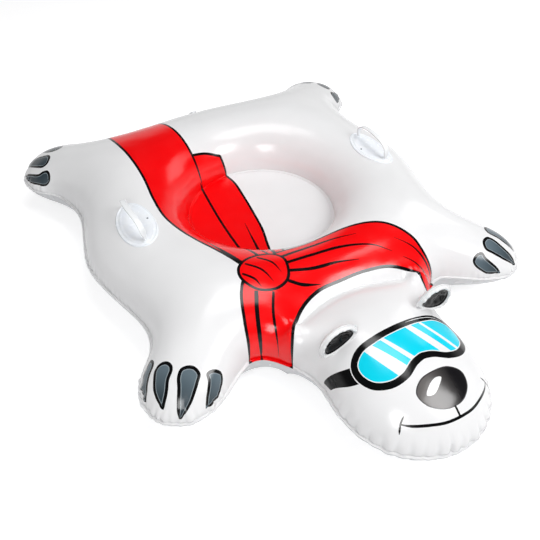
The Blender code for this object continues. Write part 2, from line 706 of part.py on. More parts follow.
def main():
    for thing in list(bpy.data.objects):
        bpy.data.objects.remove(thing)

    outline = body_outline()
    seat = circle(SEAT_RADIUS, SEAT_STEPS, clockwise=True)
    panel = Panel(
        [outline, seat], EDGE_RING_DEPTHS, PANEL_STEP, BODY_PUFF_SHARE, valley_line(), NECK_VALLEY_HEIGHT
    )
    seam_height = panel.heights.max() - PRESSED_DEPTH

    seat_centre = bpy.data.objects.new("seat_centre", None)
    bpy.context.scene.collection.objects.link(seat_centre)
    middle_y = (outline[:, 1].min() + outline[:, 1].max()) / 2
    seat_centre.location = (0, -middle_y, seam_height)

    white = look("white_film", (0.86, 0.87, 0.89), 0.25)
    underside = look("underside_film", (0.82, 0.83, 0.85), 0.30)
    seat_white = look("seat_film", (0.84, 0.85, 0.88), 0.25)
    inner = look("inner_film", (0.75, 0.76, 0.78), 0.40)
    ear_black = look("ear_print", (0.03, 0.03, 0.035), 0.25)
    ear_white = look("ear_film", (0.86, 0.87, 0.89), 0.25)
    patch_look = look("patch_film", (0.80, 0.82, 0.85), 0.20)
    grip_look = look("grip_strap", (0.82, 0.84, 0.87), 0.25)
    valve_look = look("valve_plastic", (0.78, 0.80, 0.82), 0.30)
    stopper_look = look("stopper_plastic", (0.80, 0.82, 0.84), 0.30)
    flap_look = look("flap_film", (0.75, 0.77, 0.80), 0.35)

    tabs = (OUTER_WELD, SEAT_WELD)
    seat_stack = SEAT_FILM / 2 + GAP
    upper = Skin(panel, 1, (GAP / 2 + UPPER_FILM, seat_stack + UPPER_FILM), tabs)
    lower = Skin(panel, -1, (GAP / 2 + LOWER_FILM, seat_stack + LOWER_FILM), tabs, -seam_height)

    shell = add_piece("upper_shell", film(upper, UPPER_FILM), seat_centre, Matrix(), white)
    add_piece("lower_shell", film(lower, LOWER_FILM), seat_centre, Matrix(), underside)
    add_piece("seat_panel", seat_mesh(), seat_centre, Matrix(), seat_white)
    add_piece("neck_baffle", baffle_mesh(panel, upper, lower), seat_centre, Matrix(), inner)

    lid = upper.lifted(GAP)
    ground = lid * (1, 1, 0) - (0, 0, seam_height)
    below_head = add_piece("below_head", slab(lid, ground, upper.faces), seat_centre)
    ears(upper, below_head, seat_centre, ear_black, ear_white)
    left = handle("handle_left", 1, upper, seat_centre, patch_look, grip_look)
    right = handle("handle_right", -1, upper, seat_centre, patch_look, grip_look)
    stopper, flap = valve(upper, shell, seat_centre, valve_look, stopper_look, flap_look)

    bpy.context.view_layer.update()
    for thing in (left, right, stopper, flap):
        place_m = [round(value, 5) for value in thing.matrix_world.translation]
        axis = [round(value, 5) for value in thing.matrix_world.to_3x3().col[1]]
        print(thing.name, "joint at", place_m, "axis", axis)


main()
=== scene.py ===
import json
import math
from collections import Counter

import bmesh
import bpy
import numpy as np
from mathutils import Matrix, Vector
from mathutils.bvhtree import BVHTree
from mathutils.geometry import delaunay_2d_cdt
from mathutils.kdtree import KDTree


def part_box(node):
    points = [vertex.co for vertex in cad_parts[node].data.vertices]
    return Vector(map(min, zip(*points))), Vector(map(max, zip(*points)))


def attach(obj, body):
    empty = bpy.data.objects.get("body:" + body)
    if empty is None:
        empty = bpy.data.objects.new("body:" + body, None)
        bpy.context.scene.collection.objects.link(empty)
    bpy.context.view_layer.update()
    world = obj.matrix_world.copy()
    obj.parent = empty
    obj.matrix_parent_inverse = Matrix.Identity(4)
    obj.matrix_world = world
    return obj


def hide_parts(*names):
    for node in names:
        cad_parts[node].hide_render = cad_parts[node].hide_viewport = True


# Inflated snow tube in the form of a sprawling bear. Places in plan are measured from the centre of the seat.

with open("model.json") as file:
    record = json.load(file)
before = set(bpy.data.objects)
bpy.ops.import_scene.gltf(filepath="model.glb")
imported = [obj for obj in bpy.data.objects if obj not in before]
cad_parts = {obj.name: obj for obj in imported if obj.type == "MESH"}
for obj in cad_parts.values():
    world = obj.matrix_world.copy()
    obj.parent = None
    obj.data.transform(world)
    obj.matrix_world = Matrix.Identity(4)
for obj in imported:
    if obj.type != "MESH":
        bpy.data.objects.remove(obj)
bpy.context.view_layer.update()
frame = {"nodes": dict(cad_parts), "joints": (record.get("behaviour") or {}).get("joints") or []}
bpy.ops.object.select_all(action="DESELECT")
print("frame loaded")


# Camera, floor and lamps

studio = {
    "azimuth": -28.71,
    "elevation": 44.90,
    "distance": 1.238,
    "target": (-0.0840, -0.0859, 0.0909),
    "lens": 37.33,
    "sensor": 36,
    "floorHalf": 6,
    "floorColour": "#dededf",
    "floorGlow": 0.58,         # what whitens the floor where it is seen, and where it is mirrored
    "floorMirrored": 0.34,
    "worldColour": "#ffffff",
    "ceiling": (0.30, 0.05, 0.05),      # strengths as light, mirrored and seen
    "backdrop": (0.36, 0.60, 1.0),      # a white band round the horizon
    "backdropTop": (0.25, 0.45),
    "lamps": (
        # name, place, aimed at, width, depth, watts
        ("keySoftbox", (1.0, -1.5, 2.2), (0, 0, 0.1), 1.1, 1.1, 33),
        ("overheadSoftbox", (0.3, 0.3, 2.6), (0, 0, 0.1), 1.3, 1.0, 15),
        ("windowSoftbox", (-1.3, -1.7, 1.9), (0, 0, 0.1), 0.8, 1.1, 21),
        ("farSoftbox", (2.0, 0.7, 1.7), (0, 0, 0.1), 0.9, 1.1, 6),
    ),
}


# An sRGB hex value as the linear colour that a socket takes
def linearColour(hexText):
    values = [int(hexText[k : k + 2], 16) / 255 for k in (1, 3, 5)]
    return [v / 12.92 if v <= 0.04045 else ((v + 0.055) / 1.055) ** 2.4 for v in values] + [1]


# Adds a node. inputs holds a value, another node or its socket for each of its sockets
def addNode(tree, kind, inputs=None, **settings):
    node = tree.nodes.new(kind)
    for key, value in settings.items():
        setattr(node, key, value)
    for key, value in (inputs or {}).items():
        if isinstance(value, bpy.types.Node):
            value = value.outputs[0]
        if isinstance(value, bpy.types.NodeSocket):
            tree.links.new(value, node.inputs[key])
        else:
            node.inputs[key].default_value = value
    return node


def newMaterial(name):
    material = bpy.data.materials.new(name)
    material.use_nodes = True
    material.node_tree.nodes.clear()
    return material, material.node_tree


def addCamera():
    turn, rise = math.radians(studio["azimuth"]), math.radians(studio["elevation"])
    away = Vector((math.sin(turn) * math.cos(rise), -math.cos(turn) * math.cos(rise), math.sin(rise)))
    bpy.ops.object.camera_add(location=Vector(studio["target"]) + away * studio["distance"])
    camera = bpy.context.object
    camera.rotation_euler = away.to_track_quat("Z", "Y").to_euler()
    camera.data.lens = studio["lens"]
    camera.data.sensor_width = studio["sensor"]
    bpy.context.scene.camera = camera


# A strength as light on the object, in its mirrored surroundings, and seen straight or through clear film
def byRay(tree, light, mirrored, seen):
    rays = addNode(tree, "ShaderNodeLightPath").outputs
    inputs = {"Value": rays["Is Glossy Ray"], "To Min": light, "To Max": mirrored}
    around = addNode(tree, "ShaderNodeMapRange", inputs)
    inputs = {0: rays["Is Camera Ray"], 1: rays["Is Transmission Ray"]}
    straight = addNode(tree, "ShaderNodeMath", inputs, operation="MAXIMUM")
    return addNode(tree, "ShaderNodeMapRange", {"Value": straight, "To Min": around, "To Max": seen})


def addStudio():
    bpy.ops.mesh.primitive_plane_add(size=2 * studio["floorHalf"])
    floor = bpy.context.object
    floor.name = "floor"
    material, tree = newMaterial("matt white paper")
    paper = addNode(tree, "ShaderNodeBsdfDiffuse", {"Color": linearColour(studio["floorColour"])})
    glow = byRay(tree, 0, studio["floorMirrored"], studio["floorGlow"])
    light = addNode(tree, "ShaderNodeEmission", {"Color": (1, 1, 1, 1), "Strength": glow})
    both = addNode(tree, "ShaderNodeAddShader", {0: paper, 1: light})
    addNode(tree, "ShaderNodeOutputMaterial", {"Surface": both})
    floor.data.materials.append(material)

    world = bpy.context.scene.world or bpy.data.worlds.new("studio")
    bpy.context.scene.world = world
    world.use_nodes = True
    tree = world.node_tree
    tree.nodes.clear()
    way = addNode(tree, "ShaderNodeTexCoord")
    height = addNode(tree, "ShaderNodeSeparateXYZ", {0: way.outputs["Generated"]})
    low, high = studio["backdropTop"]
    inputs = {"Value": height.outputs["Z"], "From Min": low, "From Max": high}
    inputs |= {"To Min": byRay(tree, *studio["backdrop"]), "To Max": byRay(tree, *studio["ceiling"])}
    strength = addNode(tree, "ShaderNodeMapRange", inputs)
    inputs = {"Color": linearColour(studio["worldColour"]), "Strength": strength}
    light = addNode(tree, "ShaderNodeBackground", inputs)
    addNode(tree, "ShaderNodeOutputWorld", {"Surface": light})

    for name, place, aim, width, depth, watts in studio["lamps"]:
        bpy.ops.object.light_add(type="AREA", location=place)
        lamp = bpy.context.object
        lamp.name = name
        lamp.data.shape = "RECTANGLE"
        lamp.data.size = width
        lamp.data.size_y = depth
        lamp.data.energy = watts
        lamp.rotation_euler = (Vector(place) - Vector(aim)).to_track_quat("Z", "Y").to_euler()
    bpy.context.scene.view_settings.view_transform = "Standard"


addCamera()
addStudio()
print("camera, floor and lamps placed")


# Plan curves

net = {
    "edgeStep": 0.0036,        # along the welds
    "seatStep": 0.0045,
    "ringDepths": [0.0001 * k * k for k in range(1, 18)],
    "tabDepths": (0.0025, 0.0036, 0.0043, 0.0049, 0.0055),
    "latticeStep": 0.0088,
    "lowerRingDepths": [0.0001 * k * k for k in (1, 2, 3, 5, 7, 9, 12, 15)],
    "lowerLatticeStep": 0.016,
    "valleyStep": 0.004,
    "valleyRoom": 0.8,         # of that step, kept free beside the line
    "printRoom": (0.0012, 0.006),       # kept free beside a printed line, and its share where the rings crowd
    "straightStep": 0.002,
    "tolerance": 2e-5,
    "touching": 1e-5,
    "turns": 3000,
    "settled": 1e-14,
}
form = {
    "puffShare": 0.74,         # of the height that would be a full round section
    "seatRadius": 0.180,
    "outerWeld": 0.006,
    "seatWeld": 0.008,
    "film": 0.0008,
    "lowerFilm": 0.0010,
    "seatFilm": 0.0008,
    "seatSag": 0.010,
    "seatRings": 0.005,
    "seatRoom": (0.019, 0.0012),        # kept free of the grid inside the rings, and beside a printed line
    "seatSide": 0.010,         # the width beside the seat's weld where the film lies on the seat's tab
    "weldGap": 0.0003,
    "valleyEnd": (0.1652, -0.4142),
    "valleyMiddle": -0.360,
    "valleyHeight": 0.050,
    "valleyLetGo": (0.74, 1.0),
    "edgeReach": 0.075,        # how far in from a weld the film climbs, and how high
    "edgeRise": 0.070,
    "slopeReach": 0.006,
}


# The curve's points at equal lengths near the step
def respaced(curve, step):
    lengths = np.concatenate([[0], np.cumsum(np.linalg.norm(np.diff(curve, axis=0), axis=1))])
    count = max(1, round(lengths[-1] / step))
    places = np.linspace(0, lengths[-1], count + 1)
    return np.stack([np.interp(places, lengths, curve[:, axis]) for axis in range(curve.shape[1])], axis=1)


# A centripetal curve through all but the first and last of the points
def curveThrough(points, samples=12):
    curve = []
    for p0, p1, p2, p3 in zip(points, points[1:], points[2:], points[3:]):
        t1 = math.sqrt(np.linalg.norm(p1 - p0))
        t2 = t1 + math.sqrt(np.linalg.norm(p2 - p1))
        t3 = t2 + math.sqrt(np.linalg.norm(p3 - p2))
        for t in t1 + (t2 - t1) * np.arange(samples) / samples:
            a1 = p0 + (p1 - p0) * t / t1
            a2 = p1 + (p2 - p1) * (t - t1) / (t2 - t1)
            a3 = p2 + (p3 - p2) * (t - t2) / (t3 - t2)
            b1 = a1 + (a2 - a1) * t / t2
            b2 = a2 + (a3 - a2) * (t - t1) / (t3 - t1)
            curve.append(b1 + (b2 - b1) * (t - t1) / (t2 - t1))
    curve.append(points[-2])
    return np.array(curve)


def smoothLoop(points, step):
    points = np.array(points, float)
    around = np.concatenate([points[-1:], points, points[:2]])
    return respaced(curveThrough(around), step)[:-1]


def openCurve(points):
    points = np.array(points, float)
    if len(points) == 2:
        return respaced(points, net["straightStep"])
    first, last = 2 * points[0] - points[1], 2 * points[-1] - points[-2]
    return curveThrough(np.concatenate([[first], points, [last]]))


def leftNormals(loop, closed=True):
    if closed:
        along = np.roll(loop, -1, axis=0) - np.roll(loop, 1, axis=0)
    else:
        along = np.gradient(loop, axis=0)
    normals = np.stack([-along[:, 1], along[:, 0]], axis=1)
    return normals / np.maximum(np.linalg.norm(normals, axis=1, keepdims=True), 1e-9)


def signedArea(loop):
    x, y = loop[:, 0], loop[:, 1]
    return (x * np.roll(y, -1) - y * np.roll(x, -1)).sum() / 2


def counterClockwise(loop):
    return loop if signedArea(loop) > 0 else loop[::-1]


# Which points lie inside a closed loop, by counting the crossings to their right
def inLoop(points, loop):
    x1, y1 = loop[:, 0], loop[:, 1]
    x2, y2 = np.roll(x1, -1), np.roll(y1, -1)
    rise = np.where(y2 == y1, 1, y2 - y1)
    found = np.zeros(len(points), bool)
    low, high = loop.min(axis=0), loop.max(axis=0)
    near = np.flatnonzero(((points > low) & (points < high)).all(axis=1))
    for part in np.array_split(near, max(1, len(near) // 2000)):
        x, y = points[part, 0][:, None], points[part, 1][:, None]
        straddles = (y1 > y) != (y2 > y)
        crossing = x1 + (y - y1) * (x2 - x1) / rise
        found[part] = (straddles & (x < crossing)).sum(axis=1) % 2 == 1
    return found


def treeOf(points):
    tree = KDTree(len(points))
    for k, (x, y) in enumerate(points):
        tree.insert((x, y, 0), k)
    tree.balance()
    return tree


# The index of the nearest point in the tree to each point, and how far off it is
def nearest(points, tree):
    found = [tree.find((x, y, 0)) for x, y in points]
    return np.array([item[1] for item in found]), np.array([item[2] for item in found])


# A circle that runs clockwise, with the body on its left
def circleLoop(radius, count):
    angles = -2 * math.pi * np.arange(count) / count
    return radius * np.stack([np.cos(angles), np.sin(angles)], axis=1)


# The line where the outer weld starts, counter-clockwise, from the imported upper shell
def weldedLoop(level):
    mesh = bmesh.new()
    mesh.from_mesh(frame["nodes"]["upper_shell"].data)
    bmesh.ops.remove_doubles(mesh, verts=mesh.verts, dist=net["touching"])
    flat = [face for face in mesh.faces if all(abs(v.co.z - level) < net["touching"] for v in face.verts)]
    follows = {}
    for edge, count in Counter(edge for face in flat for edge in face.edges).items():
        if count == 1:
            a, b = edge.verts
            follows.setdefault(a, []).append(b)
            follows.setdefault(b, []).append(a)
    loops, used = [], set()
    for start in follows:
        loop, here = [], None if start in used else start
        while here is not None:
            used.add(here)
            loop.append((here.co.x, here.co.y))
            here = next((v for v in follows[here] if v not in used), None)
        if loop:
            loops.append(np.array(loop))
    mesh.free()
    loops.sort(key=lambda loop: abs(signedArea(loop)))
    return counterClockwise(loops[-2])


seatLow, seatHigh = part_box("seat_panel")
seatCentre = np.array([(seatLow.x + seatHigh.x) / 2, (seatLow.y + seatHigh.y) / 2])
seam = seatHigh.z - form["seatFilm"] / 2
tabLevel = form["weldGap"] / 2 + form["film"]
seamLoop = smoothLoop(weldedLoop(seam + tabLevel) - seatCentre, net["edgeStep"])
seamNormals = leftNormals(seamLoop)
seamTree = treeOf(seamLoop)
seamStep = np.linalg.norm(np.roll(seamLoop, -1, axis=0) - seamLoop, axis=1).mean()
seamLength = seamStep * len(seamLoop)
seatCount = round(2 * math.pi * form["seatRadius"] / net["seatStep"])
seatLoop = circleLoop(form["seatRadius"], seatCount)
tabLoop = seamLoop - seamNormals * form["outerWeld"]
seatTabLoop = circleLoop(form["seatRadius"] - form["seatWeld"], seatCount)


# The nearest point of the outer weld, the length along the weld there and the depth in from it
def weldPlace(points):
    near, _ = nearest(points, seamTree)
    off = points - seamLoop[near]
    depth = (off * seamNormals[near]).sum(axis=1)
    tangent = np.stack([seamNormals[near, 1], -seamNormals[near, 0]], axis=1)
    along = (near * seamStep + (off * tangent).sum(axis=1)) % seamLength
    return near, along, depth


# Print on the upper film. Every shape is a closed loop in plan, and later ones lie over earlier ones

inks = ("white", "red", "black", "claw", "clawRim", "lens", "nose", "noseRim")
drawing = {
    "step": 0.0032,
    "fineStep": 0.0008,
    "clawStep": 0.001,
    "probe": 0.0004,           # half the length over which the film's slope is taken
    "steepest": 9,
    "keepShare": 0.85,         # a moved point that lies nearer to the old loop than this would cross itself
    "endShare": 0.25,          # of a line's width at its ends, and how fast it swells from there
    "taper": 5,
    "toneReach": 0.0008,       # past the loop, so that its edge has its tone too
}


# How the film climbs beside its two welds, enough to space a printed line on it
def edgeHeight(points):
    depths = weldPlace(points)[2], np.linalg.norm(points, axis=1) - form["seatRadius"]
    shares = [np.clip(1 - depth / form["edgeReach"], 0, 1) for depth in depths]
    return sum(form["edgeRise"] * np.sqrt(1 - share**2) for share in shares)


# The curve respaced at equal steps of its length on the film
def onFilm(curve):
    curve = respaced(np.array(curve), drawing["fineStep"])
    lifted = np.column_stack([curve, edgeHeight(curve)])
    return respaced(lifted, drawing["step"])[:, :2]


# The distance in plan, along the normals, of a width on the film
def planReach(points, normals, width):
    reach, steepest = drawing["probe"], drawing["steepest"]
    rise = edgeHeight(points + normals * reach) - edgeHeight(points - normals * reach)
    return width / np.sqrt(1 + np.clip(rise / (2 * reach), -steepest, steepest) ** 2)


# A closed loop respaced on the film
def laidOut(loop):
    return counterClockwise(onFilm(np.concatenate([loop, loop[:1]]))[:-1])


# A closed loop of smooth sides, with a straight line between two that don't meet
def shape(*sides):
    runs = []
    for side, following in zip(sides, sides[1:] + sides[:1]):
        runs.append(side)
        if side[-1] != following[0]:
            runs.append([side[-1], following[0]])
    return laidOut(np.concatenate([openCurve(run)[:-1] for run in runs]))


# The loop moved inwards by a width on the film, or outwards by a negative one
def moved(loop, width):
    normals = leftNormals(loop)
    reach = planReach(loop, normals, width)
    out = loop + normals * reach[:, None]
    near, gap = nearest(out, treeOf(loop))
    return out[gap > drawing["keepShare"] * np.abs(reach[near])]


# A drawn line whose ends narrow to a share of its width
def stroke(points, width, startShare=drawing["endShare"], endShare=drawing["endShare"], taper=drawing["taper"]):
    line = onFilm(openCurve(points))
    share = np.linspace(0, 1, len(line))
    swell = np.minimum(1, np.minimum(startShare + share * drawing["taper"], endShare + (1 - share) * taper))
    normals = leftNormals(line, closed=False)
    half = normals * (planReach(line, normals, width / 2) * swell)[:, None]
    return counterClockwise(np.concatenate([line + half, (line - half)[::-1]]))


def mirrored(points):
    return [(-x, y) for x, y in points]


# Places that are written in millimetres
def metres(points):
    return [(x / 1000, y / 1000) for x, y in points]


claws = {
    "outline": {"front": 0.0062, "rear": 0.0066},
    "innerRim": 0.0014,
    "start": {"front": 0, "rear": 0.70},        # the share of the run from root to tip where the grey starts
    "leastDepth": 0.0020,      # in from the weld
    # The left half of each set in mm, every loop starting and ending at its tip
    "front": (
        [(-353, -454), (-343, -449), (-327, -441), (-313, -431), (-302, -418), (-301, -410), (-309, -405),
         (-321, -404), (-329, -408), (-331, -418), (-338, -430), (-347, -442)],
        [(-399, -446), (-386, -445), (-371, -438), (-359, -428), (-348, -417), (-338, -405), (-341, -391),
         (-351, -383), (-366, -381), (-377, -391), (-385, -409), (-395, -428), (-400, -439)],
        [(-419, -422), (-410, -415), (-400, -403), (-391, -388), (-379, -376), (-376, -366), (-381, -354),
         (-394, -348), (-406, -353), (-415, -368), (-422, -386), (-423, -405)],
        [(-440, -387), (-432, -378), (-425, -365), (-415, -352), (-404, -342), (-400, -332), (-403, -322),
         (-414, -327), (-425, -338), (-434, -351), (-438, -366)],
    ),
    "rear": (
        [(-482, 418), (-472, 396), (-454, 369), (-440, 363), (-430, 354), (-429, 340), (-434.5, 332),
         (-444, 334), (-458, 346), (-471.2, 364), (-480.5, 387)],
        [(-466, 452), (-445, 438), (-426, 420), (-413, 408), (-411, 395), (-416, 382), (-426, 373), (-438, 374),
         (-453, 392), (-464, 414), (-470, 437)],
        [(-420, 482), (-400, 469), (-381, 450), (-370, 434), (-374, 419), (-388, 412), (-404, 417), (-418, 436),
         (-425, 460)],
        [(-368, 492), (-350, 482), (-336, 466), (-330, 448), (-338, 434), (-352, 431), (-366, 440), (-374, 458),
         (-374, 476)],
    ),
}

prints = []


# Adds a printed shape. Its tone runs from 0 at the first place to 1 at the second, and clip cuts it off
def paint(loop, ink, tonePlaces=None, clip=None):
    prints.append((loop, inks.index(ink), tonePlaces, clip))


def outlined(loop, width, ink):
    paint(loop, "black")
    paint(moved(loop, width), ink)


# Its grey runs darker from root to tip
def addClaw(points, kind):
    points = metres(points)
    loop = laidOut(smoothLoop(points, drawing["clawStep"]))
    near, _, depth = weldPlace(loop)
    loop = loop + seamNormals[near] * np.maximum(0, claws["leastDepth"] - depth)[:, None]
    tip = np.array(points[0])
    root = np.mean(points[3:7], axis=0)
    start, outline = claws["start"][kind], claws["outline"][kind]
    root = (root - start * tip) / (1 - start)
    paint(loop, "black")
    paint(moved(loop, outline), "clawRim", (root, tip), loop)
    paint(moved(loop, outline + claws["innerRim"]), "claw", (root, tip), loop)


scarf = {
    "line": 0.0060,
    "foldEnd": (0.12, 1.7),    # the share of its width, and how fast it swells from there
    # Places in mm
    "collar": (
        [(-262, -440), (-237, -393), (-226, -352), (-205, -298), (-165, -252), (-90, -224), (0, -216),
         (85, -226), (155, -262), (192, -322), (200, -366), (214, -420)],
        [(148, -448), (143, -398), (112, -366), (55, -349), (0, -346), (-55, -350), (-104, -370), (-139, -399),
         (-160, -427), (-172, -448)],
    ),
    "mainTail": (
        [(-266, 470), (-262, 338), (-249, 215), (-246, 134), (-251, 56), (-250, -8), (-237, -62), (-219, -112),
         (-198, -167), (-182, -215), (-168, -262)],
        [(-100, -240), (-104, -120), (-100, 10), (-94, 98), (-90, 160), (-92, 215), (-100, 290), (-110, 345),
         (-122, 400), (-134, 470)],
    ),
    "shortTail": (
        [(-120, -236), (-130, -120), (-126, 10), (-116, 98), (-108, 150), (-104, 200)],
        [(-104, 200), (-58, 205), (-16, 198)],
        [(-16, 198), (-2, 150), (-4, 87), (-12, 13), (-22, -50), (-44, -128), (-62, -230)],
    ),
    "knot": [(-192, -272), (-184, -244), (-160, -225), (-124, -218), (-94, -226), (-80, -250), (-86, -282),
             (-104, -311), (-138, -323), (-174, -310)],
    # The width of each set of folds, the share of it at their start, and their lines
    "folds": (
        (0.0080, 1, (
            [(-86, -246), (-34, -240), (34, -244), (90, -262)],
            [(-86, -268), (-30, -268), (36, -276), (98, -304), (130, -338)],
            [(-92, -290), (-44, -302), (12, -308), (58, -322)],
            [(-106, -312), (-84, -328), (-46, -338)],
            [(-176, -310), (-196, -352), (-212, -400), (-220, -440)],
            [(-126, -220), (-133, -150), (-148, -72)],
            [(-168, -232), (-184, -176), (-200, -118)],
            [(-88, -226), (-76, -150), (-64, -80), (-52, -10)],
        )),
        (0.0054, 0.8, (
            [(198, -404), (180, -350), (152, -312)],
            [(176, -424), (164, -382), (144, -356)],
            [(-146, -324), (-168, -364), (-184, -414)],
            [(-164, -238), (-142, -266), (-134, -304)],
            [(-132, -228), (-112, -254), (-108, -288)],
            [(-182, -262), (-166, -284), (-162, -306)],
        )),
    ),
}

for part in ("shortTail", "mainTail", "collar"):
    outlined(shape(*map(metres, scarf[part])), scarf["line"], "red")
outlined(smoothLoop(metres(scarf["knot"]), drawing["step"])[::-1], scarf["line"], "red")
for width, start, folds in scarf["folds"]:
    for fold in folds:
        paint(stroke(metres(fold), width, start, *scarf["foldEnd"]), "black")
for kind in ("front", "rear"):
    for points in claws[kind]:
        addClaw(points, kind)
        addClaw(mirrored(points), kind)

face = {
    "shift": 0.009,
    "frame": 0.0142,
    "lensGap": 0.0018,
    "strapGap": 0.0017,
    "strapGrowth": 0.0015,
    "frameGlintWidth": 0.0014,
    "frameGlintEnd": 0.2,      # shares of a line's width at its ends
    "noseRim": 0.0020,
    "glintStep": 0.0020,
    "mouthWidth": 0.0050,
    "mouthEndShare": 0.5,
    "lipShare": 0.8,           # widths as shares of the mouth's
    "cornerShare": 0.7,
    # Half outlines and lines in mm
    "goggle": [(0, -503), (50, -504), (90, -509), (112, -527), (117, -554), (105, -585), (78, -602), (46, -602),
               (18, -590)],
    "bridge": (0, -586),
    "strap": (
        [(100, -538), (122, -526), (150, -506)],
        [(149, -528), (128, -553), (100, -568)],
    ),
    "frameGlint": [(20, -507.5), (56, -509), (86, -514.5), (102, -526)],
    "nose": [(0, -610), (32, -614), (51, -630), (46, -652), (23, -670)],
    "noseFoot": (0, -674),
    "noseTone": ((-12, -636), (34, -640)),
    "noseGlint": [(-36, -640), (-22, -628), (-4, -622), (6, -625), (-4, -634), (-24, -644)],
    "lip": [(0, -673), (0, -688)],
    "mouth": [(-96, -653), (-83, -664), (-56, -678), (-24, -688), (24, -688), (56, -678), (83, -664), (96, -653)],
    "mouthEnd": [(-104, -662), (-96, -652), (-86, -646)],
    # The middle of each light bar across the lens, its half width there and its slant, in m
    "glints": ((-0.062, 0.0105, 0.42), (-0.030, 0.0040, 0.46), (0.030, 0.0075, 0.50), (0.058, 0.0030, 0.54)),
    "glintTop": (-0.04, -0.500, 0.7),      # share of the slant, height and share of the half width
    "glintFoot": (0.06, -0.610, 1.3),
    "glintWaist": (-0.548, -0.545),
}


# The face's places, which are written in parts of a metre
def onFace(points, parts=1000):
    return [(x / parts + face["shift"], y / parts) for x, y in points]


for turned in (list, mirrored):
    strap = shape(*(onFace(turned(side)) for side in face["strap"]))
    paint(moved(strap, -face["strapGrowth"]), "black")
half, bridge = face["goggle"], face["bridge"]
rim = shape(onFace(half + [bridge]), onFace([bridge] + mirrored(half[:0:-1]) + [half[0]]))
paint(moved(rim, -face["strapGap"]), "white")
paint(rim, "black")
ends = [face["frameGlintEnd"]] * 2
paint(stroke(onFace(face["frameGlint"]), face["frameGlintWidth"], *ends), "white")
paint(moved(rim, face["frame"] - face["lensGap"]), "white")
lens = moved(rim, face["frame"])
paint(lens, "lens")
topLean, topY, topShare = face["glintTop"]
footLean, footY, footShare = face["glintFoot"]
leftY, rightY = face["glintWaist"]
for middle, halfWidth, slant in face["glints"]:
    top, foot = middle + topLean * slant, middle + footLean * slant
    topHalf, footHalf = topShare * halfWidth, footShare * halfWidth
    left = [(top - topHalf, topY), (middle - halfWidth, leftY), (foot - footHalf, footY)]
    right = [(foot + footHalf, footY), (middle + halfWidth, rightY), (top + topHalf, topY)]
    paint(shape(onFace(left, 1), onFace(right, 1)), "white", clip=lens)
half = face["nose"]
nose = counterClockwise(smoothLoop(onFace(half + [face["noseFoot"]] + mirrored(half[:0:-1])), drawing["step"]))
paint(nose, "noseRim")
paint(moved(nose, face["noseRim"]), "nose", metres(face["noseTone"]))
paint(counterClockwise(smoothLoop(onFace(face["noseGlint"]), face["glintStep"])), "white")
mouth, ends = face["mouthWidth"], [face["mouthEndShare"]] * 2
paint(stroke(onFace(face["lip"]), mouth * face["lipShare"], 1, 1), "black")
paint(stroke(onFace(face["mouth"]), mouth, *ends), "black")
for turned in (list, mirrored):
    paint(stroke(onFace(turned(face["mouthEnd"])), mouth * face["cornerShare"]), "black")
print(len(prints), "printed shapes")


# The inflated films

pleats = {
    "heights": (0.0044, 0.0066),
    # The seed, spacings, sizes and reaches up the film of the fine pleats and of the broad ones
    "rows": (
        (5, (0.0100, 0.0190), (0.30, 1.0), (0.014, 0.034)),
        (11, (0.020, 0.031), (0.50, 1.0), (0.024, 0.046)),
    ),
    "roundness": 0.45,         # 1 is a sine wave, and less has fuller pillows with sharper valleys
    "start": 0.002,            # in from the weld, where a pleat is at its full height
    "fadeShare": 0.15,         # of its reach, where it starts to fade
    "middle": 0.4,             # of a pleat's height, which the outline keeps
    "dent": (0.3, 0.03),       # share of the height by which the film draws in under the pleats, and how far up
    "fullCurve": 9.0,          # 1/m of outline curvature at which the pleats are at their strongest
    "straightShare": 0.16,
    "smoothTurns": 60,
    "seamRipple": 0.0012,
    "scallop": 0.0042,
    "scallopReach": 0.028,
    "bead": (0.0049, 0.0009, 0.0009),   # place out from the weld, height and width of the sealing bar's ridge
    "beadStart": 0.001,
    "headEdges": (0.150, 0.215, 0.450, 0.520),  # from where to where the head begins, sideways and forwards
    "headShift": 0.75,         # how far the head's pleats go over from fine to broad
}


valve = {
    "place": (0, 0.4140),
    "dip": 0.0022,             # the film lies lower under the flange, most at its upper side
    "dipSpan": (0.429, 0.399),
    "dipReach": (0.019, 0.036),
}


# The bow along which a strip inside ties the two panels behind the head
endX, endY = form["valleyEnd"]
across, middle = np.linspace(-1, 1, 61), form["valleyMiddle"]
bow = np.stack([across * endX, middle + (endY - middle) * across**2], axis=1)
valley = respaced(bow, net["valleyStep"])
valleyTree = treeOf(valley)


# The places of a triangular lattice round the middle
def lattice(step, reach):
    rowStep = step * math.sqrt(0.75)
    rows = np.arange(-int(reach[1] / rowStep), int(reach[1] / rowStep) + 1)
    columns = np.arange(-int(reach[0] / step), int(reach[0] / step) + 1)
    return np.array([((column + row % 2 / 2) * step, row * rowStep) for row in rows for column in columns])


# A triangle net in plan that keeps the edges of the closed loops and open lines
def triangulated(loops, lines, free, keep):
    points = np.concatenate(loops + lines + [free])
    edges, start = [], 0
    for loop in loops:
        edges += [(start + k, start + (k + 1) % len(loop)) for k in range(len(loop))]
        start += len(loop)
    for line in lines:
        edges += [(start + k, start + k + 1) for k in range(len(line) - 1)]
        start += len(line)
    out = delaunay_2d_cdt([Vector(point) for point in points], edges, [], 0, net["tolerance"])
    spots = np.array([tuple(vertex) for vertex in out[0]])
    faces = np.array(out[2])
    faces = faces[keep(spots[faces].mean(axis=1))]
    first, second = spots[faces[:, 1]] - spots[faces[:, 0]], spots[faces[:, 2]] - spots[faces[:, 0]]
    turned = first[:, 0] * second[:, 1] < first[:, 1] * second[:, 0]
    faces[turned] = faces[turned][:, ::-1]
    used, faces = np.unique(faces, return_inverse=True)
    return spots[used], faces.reshape(-1, 3)


